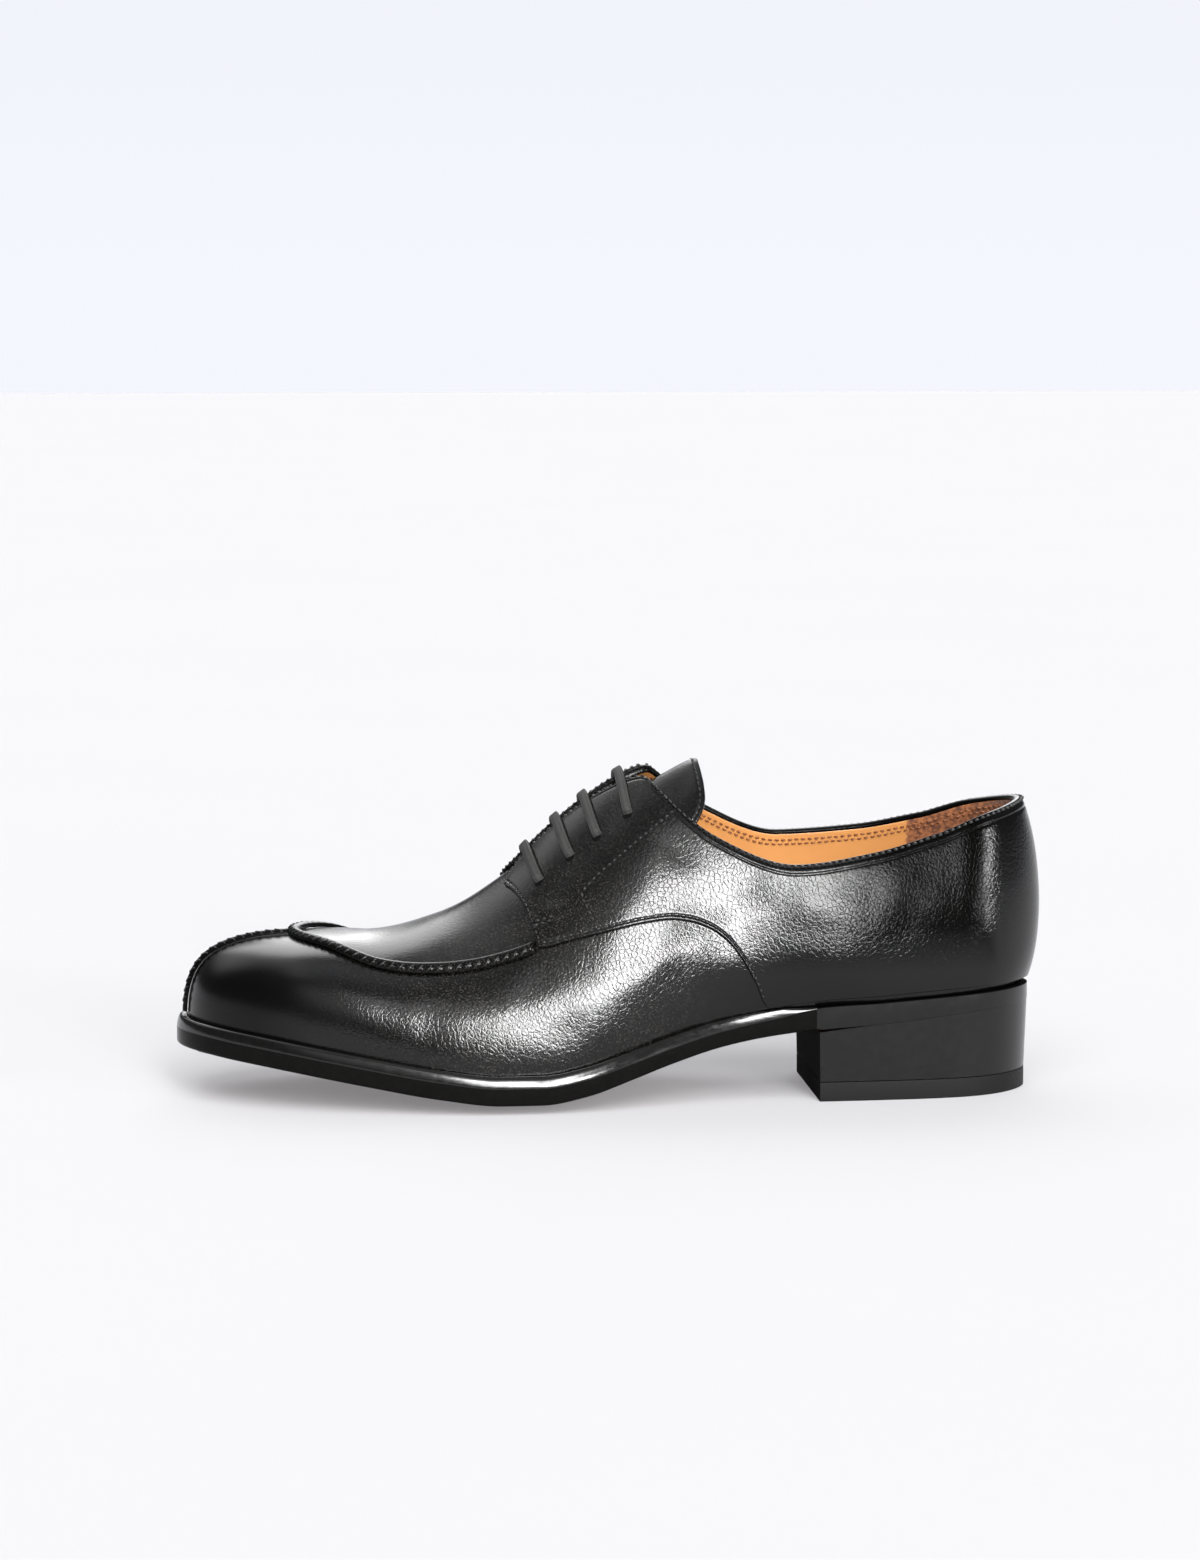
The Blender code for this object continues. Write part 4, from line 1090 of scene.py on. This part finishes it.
# Laces
def lace():
    """Bars over the facings that dive through the eyelets, the runs behind them, and dark discs of painted
    shade in the eyelet holes.
    """
    top = GAP + OVERLAY + GAP + LACE_THICK / 2
    behind = -WALL - LACE_BEHIND
    points, along, across, faces = [], [], [], []
    hole_shades, hole_shade_faces = [], []
    ends = {LATERAL: [], MEDIAL: []}

    def add_run(us, ts, sides, lift, thick):
        path = raised(us, ts, sides, lift)
        flat = tube(path, normal(us, ts, sides), LACE_WIDTH / 2 + 0.1, thick / 2, LACE_ROUNDNESS)
        faces.extend(tube_faces(len(path), TUBE_SIDES, sum(len(p) for p in points)))
        points.append(flat.reshape(-1, 3))
        along.append(np.repeat(arc_of(path), TUBE_SIDES))
        across.append(np.tile(np.cos(turns(TUBE_SIDES)), len(path)))

    # A dark disc at each eyelet: painted shade of the hole.
    def add_hole_shade(u, t, side):
        up, step = speed(u, t, side)
        angle = turns(EYELET_SIDES)
        us = np.append(u, u + EYELET_RADIUS * np.cos(angle) / step)
        ts = t + (np.append(0.0, EYELET_RADIUS * np.sin(angle)) - EYELET_DROP) / up
        start = len(hole_shades) * len(us)
        rim = start + 1 + np.arange(EYELET_SIDES)
        hole_shades.append(leather_at(us, ts, side, GAP + OVERLAY + EYELET_LIFT))
        hole_shade_faces.extend((start, a, b) for a, b in zip(rim, np.roll(rim, -1)))

    share = np.linspace(-LACE_REACH, LACE_REACH, 90)
    sides = np.where(share <= 0, LATERAL, MEDIAL)
    dive = np.clip((np.abs(share) - DIVE_FROM) / DIVE_OVER, 0.0, 1.0)
    for bar in LACE_BARS:
        u_end = float(u_at_x(bar.eyelet_x))
        down = {}
        for side in (LATERAL, MEDIAL):
            t_end = t_at_height(u_end, side, bar.eyelet_z)
            ends[side].append((u_end, t_end))
            down[side] = arc_above(u_end, side, t_end)
            add_hole_shade(u_end, t_end, side)
        us = u_at_x(bar.crest_x + (bar.eyelet_x - bar.crest_x) * share * share)
        ts = np.array([t_at_arc(u, side, abs(s) * down[side]) for u, side, s in zip(us, sides, share)])
        add_run(us, ts, sides, top + (behind - top) * dive ** DIVE_CURVE, LACE_THICK)
    for side, pairs in ((LATERAL, ((0, 1), (2, 3))), (MEDIAL, ((1, 2), (0, 3)))):
        for first, second in pairs:
            us, ts = (np.linspace(a, b, 24) for a, b in zip(ends[side][first], ends[side][second]))
            aside = 0.0 if second - first == 1 else HIDDEN_ASIDE
            ts = ts - aside * np.sin(np.linspace(0.0, math.pi, 24))
            add_run(us, ts, side, behind, HIDDEN_LACE_THICK)
    values = {"along": np.concatenate(along), "across": np.concatenate(across)}
    names = [f"lace_bar_{number}" for number in range(1, len(LACE_BARS) + 1)]
    piece("lace", np.concatenate(points), faces, (LACE,), names, values=values)
    # The eyelet discs are painted shade, not holes cut in the leather.
    piece("eyelets", np.concatenate(hole_shades), hole_shade_faces, (HOLE_SHADE,))


# Sole pieces
def grown(extra):
    """The sole's outline from above: the upper's edge, its rim and an extra."""
    wide = sole_at("rim", FEATHER_LINE[:, 0]) + extra
    return FEATHER_LINE + FEATHER_OUT * wide[:, None]


def x_ends(line):
    return line[:, 0].min(), line[:, 0].max()


def side_lines(line):
    """An outline as two lines from toe to heel, outer side first."""
    toe, heel = int(np.argmin(line[:, 0])), int(np.argmax(line[:, 0]))
    turned = np.roll(line, -toe, axis=0)
    heel = (heel - toe) % len(line)
    return turned[:heel + 1], np.vstack([turned[heel:], turned[:1]])[::-1]


def ring_of(line, xs, height, squeeze=1.0):
    """Ring along both sides of an outline at stations between its ends, at a height that follows x."""
    outer, inner = side_lines(line)
    xs = np.clip(xs, *x_ends(line))
    sides = []
    for one in (outer, inner):
        y = np.interp(xs, one[:, 0], one[:, 1])
        mid = middle_y(xs)
        sides.append(np.stack([xs, mid + (y - mid) * squeeze, height(xs)], axis=1))
    return np.concatenate([sides[0], sides[1][::-1]])


def spread(start, stop, count, round_start):
    """Stations that crowd at a round end."""
    turn = np.linspace(0.0 if round_start else math.pi / 2, math.pi, count)
    share = (1 - np.cos(turn)) / 2 if round_start else -np.cos(turn)
    return start + (stop - start) * share


def stack(name, rings, materials, nodes, under_rings=0, sharp=38.0):
    """Solid from closed rings, bottom to top; the first rings and the bottom have the last material."""
    count, size = len(rings), len(rings[0])
    under = len(materials) - 1
    walls = ring_walls(np.arange(count * size).reshape(count, size))
    k = np.arange(size // 2 - 1)
    cap = np.stack([k, k + 1, size - 2 - k, size - 1 - k], axis=-1)
    faces = np.concatenate([walls, cap, cap + (count - 1) * size])
    below = under_rings * size
    kinds = np.repeat((under, 0, under, 0), (below, len(walls) - below, len(cap), len(cap)))
    return piece(name, np.concatenate(rings), faces, materials, nodes, kinds, sharp=sharp)


def refaced(block, made_of, picked):
    """Another material for the faces that a test picks."""
    block.data.materials.append(made_of)
    for face in block.data.polygons:
        if picked(face):
            face.material_index = len(block.data.materials) - 1


# Rounded edges from the underside up: insets from the outline and heights from the edge or the top
SEAT_ROUND = 0.12
SOLE_FLAT_X = (-41.0, -34.0, -27.0)
FLAT_END_X = 60.0
FLAT_PULL = 0.95
SOLE_ROUND = table("inset rise", (1.1, 0.0), (0.5, 0.15), (0.14, 0.5), (0.0, 1.1))
SOLE_SHOULDER = table("inset drop", (0.0, 0.6), (0.0, 0.02), (0.9, 0.0))
INSOLE_LEVELS = table("inset height", (0.6, 0.0), (0.6, INSOLE_THICK - 0.8), (1.6, INSOLE_THICK))
WELT_END_X = 69.0
WELT_FADE = (58.0, 68.0)
WELT_FADED = 0.3
WELT_LIP = table(
    "inset height",
    (0.0, 0.0), (0.0, 0.06), (0.03, 0.25), (0.075, 0.45), (0.14, 0.65),
    (0.205, 0.8), (0.28, 0.9), (0.37, 0.96), (0.55, 1.0))
WELT_BACK = table("out height", (0.08, 0.97), (0.0, 0.88))
HEEL_FRONT_SET = 0.4
SQUARE_ON = 0.9


def at_seat(x):
    """Share of the sole's rounding, which all but ends at the heel."""
    return np.where(x > BREAST_X, SEAT_ROUND, 1.0)


def outsole():
    def edge(x):
        return sole_at("bottom", x) + sole_at("edge_rise", x)

    line = grown(0.0)
    low, high = x_ends(line)
    xs = np.unique(np.concatenate([spread(low, high, 190, True), SOLE_FLAT_X]))

    def fit(outline):
        return outline[:, 0].min() + (xs - low) * (np.ptp(outline[:, 0]) / (high - low))

    inner_x = np.where(np.abs(xs) < FLAT_END_X, xs, xs * FLAT_PULL)
    rings = [ring_of(line, inner_x, lambda x: sole_at("bottom", x), FLAT_SHARE)]
    for row in SOLE_ROUND:
        outline = grown(-row.inset * at_seat(FEATHER_LINE[:, 0]))
        rings.append(ring_of(outline, fit(outline), lambda x, rise=row.rise: edge(x) + rise * at_seat(x)))
    for row in SOLE_SHOULDER:
        outline = grown(-row.inset)
        rings.append(ring_of(outline, fit(outline), lambda x, drop=row.drop: sole_top(x) - drop))
    sole = stack("outsole_leather", rings, (SOLE_EDGE, UNDERSIDE), ("outsole",), 1)
    breast = (BREAST_X - CENTRE[0]) * MM
    refaced(sole, HEEL_EDGE, lambda face: face.center.x > breast and face.normal.z > -0.5)
    # Painted shade: the sole's upward faces take the dull edge so they stay dark.
    refaced(sole, SHADE_EDGE, lambda face: face.normal.z > SQUARE_ON)


def heel(name, levels, made_of, slot):
    """Heel block from rings: each level is an inset from the sole's outline and a height over x."""
    rings = []
    for inset, height in levels:
        line = grown(-inset)
        xs = spread(BREAST_X + min(inset, HEEL_FRONT_SET), line[:, 0].max(), 80, False)
        rings.append(ring_of(line, xs, height))
    block = stack(name + "_edge", rings, (made_of,), (name,))
    # Painted shade: the heel's breast takes the dull edge so it reads dark, as if in shadow.
    refaced(block, SHADE_EDGE, lambda face: face.normal.x < -SQUARE_ON)


def flat(z):
    return lambda x: np.full(len(x), z)


def welt():
    """Strip from the heel breast round the toe and back, with a rounded shoulder."""
    us, sides = both_sides(to_toe(WELT_END_X, 150, 90))
    count = len(FEATHER_OUT)
    outs = np.vstack([FEATHER_OUT, FEATHER_OUT[:1]])
    profiles = []
    for u, side in zip(us, sides):
        place = np.interp(u, FINE, np.unwrap(REACH[side][:, 1], period=count)) % count
        way = along_run(place, np.arange(count + 1), outs)
        foot = skin(u, 0.0, side)
        rim = float(sole_at("rim", foot[0]))
        fade = float(np.interp(foot[0], WELT_FADE, (1.0, WELT_FADED)))
        high = float(sole_at("welt", foot[0]) + GAP) * fade
        wall = skin(u, t_at_height(u, side, foot[2] + high), side)
        lean = max(float((wall[:2] - foot[:2]) @ way), 0.0) + GAP
        wide = rim - lean
        corners = [(GAP, 0.0)]
        corners += [(rim - lip.inset * wide, lip.height) for lip in WELT_LIP]
        corners += [(lean + back.out * wide, back.height) for back in WELT_BACK]
        out, share = np.array(corners).T
        flat_points = foot[:2] + way * out[:, None]
        profiles.append(np.column_stack([flat_points, sole_top(flat_points[:, 0]) + share * high]))
    profiles = np.array(profiles)
    piece("welt_leather", profiles, tube_faces(*profiles.shape[:2]), (WELT_EDGE,), ("welt",),
          sharp=50.0)


def insole():
    rings = []
    for row in INSOLE_LEVELS:
        line = FEATHER_LINE - FEATHER_OUT * (WALL + GAP + row.inset)
        xs = spread(*x_ends(line), 140, True)
        rings.append(ring_of(line, xs, lambda x, height=row.height: sole_top(x) + GAP + height))
    stack("insole_sock", rings, (SOCK,), ("insole",))


upper()
quarter(LATERAL)
quarter(MEDIAL)
collar_edge()
apron_seam()
toe_seam()
tongue()
lace()
outsole()
welt()
insole()
heel("heel_stack",
     ((1.0, flat(TOP_LIFT)), (1.0, flat(TOP_LIFT + 0.3)), (0.1, lambda x: sole_at("bottom", x) - 0.03)),
     HEEL_EDGE, "heel_leather")
heel("heel_top_lift",
     ((1.4, flat(0.0)), (1.1, flat(0.2)), (1.0, flat(0.6)), (1.0, flat(TOP_LIFT - GAP))),
     RUBBER, "heel_rubber")
for name, rows, made_of, slot in (("black_stitches", black_rows, BLACK_THREAD, "waxed_lace"),
                                  ("lining_stitches", tan_rows, TAN_THREAD, "tan_lining")):
    points, faces = [], []
    for lines, outs, radius in rows:
        row_points, row_faces = threads(lines, outs, radius)
        faces.append(row_faces + sum(len(p) for p in points))
        points.append(row_points)
    piece(name, np.concatenate(points), np.concatenate(faces), (made_of,))


# Studio: floor, lamps, sky and camera
SOFT_BOXES = table(
    "azimuth elevation roll half_width half_height soft light",
    (8.4, 24.0, 8.0, 4.7, 12.0, 3.5, 48.0),
    (17.2, 12.1, 0.0, 3.5, 5.0, 2.0, 58.0),
    (-10.0, 32.0, 0.0, 24.0, 14.0, 13.0, 0.8),
    (4.0, 46.0, 0.0, 6.5, 6.0, 4.0, 3.0),
    (49.0, 8.0, -48.0, 3.5, 8.0, 2.5, 44.0),
    (174.0, 43.0, 0.0, 20.0, 17.0, 7.0, 3.7),
    (-138.0, 45.0, 0.0, 22.0, 14.0, 12.0, 1.5),
    (-100.0, 70.0, 0.0, 25.0, 8.0, 8.0, 0.8),
    (172.0, 19.0, 0.0, 9.0, 8.0, 6.0, 5.0))
SKY = table(
    "angle light",
    (0.0, 0.95), (3.2, 0.92), (5.0, 0.1), (30.0, 0.1), (50.0, 0.18), (70.0, 0.4), (85.0, 0.8))
SKY_TINT = (0.96, 0.975, 1.04)
OVERHEAD_POWER = 3.8
OVERHEAD_SPREAD = 50.0
OVERHEAD_LEAN = 42.0
FLOOR_GLOW = 0.208
FLOOR_HALF = 9.0
CAMERA = (-151.15, -1693.27, 290.0)
CAMERA_PITCH = 6.08
CAMERA_YAW = 5.0
FOCAL_PIXELS = 4895.0
PICTURE_HEIGHT = 1560.0
SENSOR = 36.0


def pale(n):
    return {
        "Base Color": n.mixed(n.noise(3.0, 2.0), (0.319, 0.318, 0.325), (0.326, 0.325, 0.332)),
        "Roughness": 1.0,
        "Specular IOR Level": 0.0,
        "Emission Color": (1.0, 0.99, 1.03),
        "Emission Strength": FLOOR_GLOW,
    }


def floor():
    mesh = bpy.data.meshes.new("floor")
    far = FLOOR_HALF
    mesh.from_pydata([(-far, -far, 0), (far, -far, 0), (far, far, 0), (-far, far, 0)], [], [(0, 1, 2, 3)])
    mesh.materials.append(material("pale_floor", pale))
    thing = placed("floor", mesh)


def overhead():
    light = bpy.data.lights.new("overhead", "SUN")
    light.energy = OVERHEAD_POWER
    light.angle = math.radians(OVERHEAD_SPREAD)
    thing = placed("overhead", light)
    thing.rotation_euler = (math.radians(OVERHEAD_LEAN), 0.0, 0.0)
    thing.visible_glossy = False


def soft_box(n, box):
    """Light of a soft-edged rectangle in the sky; azimuth 0 is the camera's side, 90 the heel's."""
    turn, rise, roll = (math.radians(angle) for angle in (box.azimuth, box.elevation, box.roll))
    ahead = (math.sin(turn) * math.cos(rise), -math.cos(turn) * math.cos(rise), math.sin(rise))
    right = np.array((math.cos(turn), math.sin(turn), 0.0))
    up = np.cross(ahead, right)
    across = math.cos(roll) * right + math.sin(roll) * up
    upright = math.cos(roll) * up - math.sin(roll) * right
    light = box.light
    for axis, half in ((across, box.half_width), (upright, box.half_height)):
        away = n.maths("ABSOLUTE", n.along(axis))
        near, far = (math.sin(math.radians(half + box.soft * side)) for side in (-1, 1))
        light = n.times(n.ranged(away, far, near, interpolation_type="SMOOTHSTEP"), light)
    return n.times(n.maths("GREATER_THAN", n.along(ahead)), light)


def sky():
    world = bpy.data.worlds.new("studio")
    bpy.context.scene.world = world
    world.use_nodes = True
    n = Nodes(world.node_tree, "Generated")
    ramp = n.add("ValToRGB", {"Fac": n.axis("Z")})
    stops = ramp.color_ramp.elements
    while len(stops) < len(SKY):
        stops.new(1.0)
    for stop, row in zip(stops, SKY):
        stop.position = math.sin(math.radians(row.angle))
        stop.color = (*(np.array(SKY_TINT) * row.light), 1.0)
    light = ramp.outputs["Color"]
    for box in SOFT_BOXES:
        light = n.add("VectorMath", {0: light, 1: soft_box(n, box)}, operation="ADD").outputs[0]
    n.fill(world.node_tree.nodes["Background"], {"Color": light, "Strength": 1.0})


def camera():
    eye = bpy.data.cameras.new("camera")
    eye.sensor_fit = "VERTICAL"
    eye.sensor_height = SENSOR
    eye.lens = FOCAL_PIXELS / PICTURE_HEIGHT * SENSOR
    thing = placed("camera", eye)
    thing.location = (np.array(CAMERA) - CENTRE) * MM
    thing.rotation_euler = (math.radians(90.0 - CAMERA_PITCH), 0.0, -math.radians(CAMERA_YAW))
    bpy.context.scene.camera = thing


floor()
overhead()
sky()
camera()
bpy.context.scene.view_settings.view_transform = "Standard"
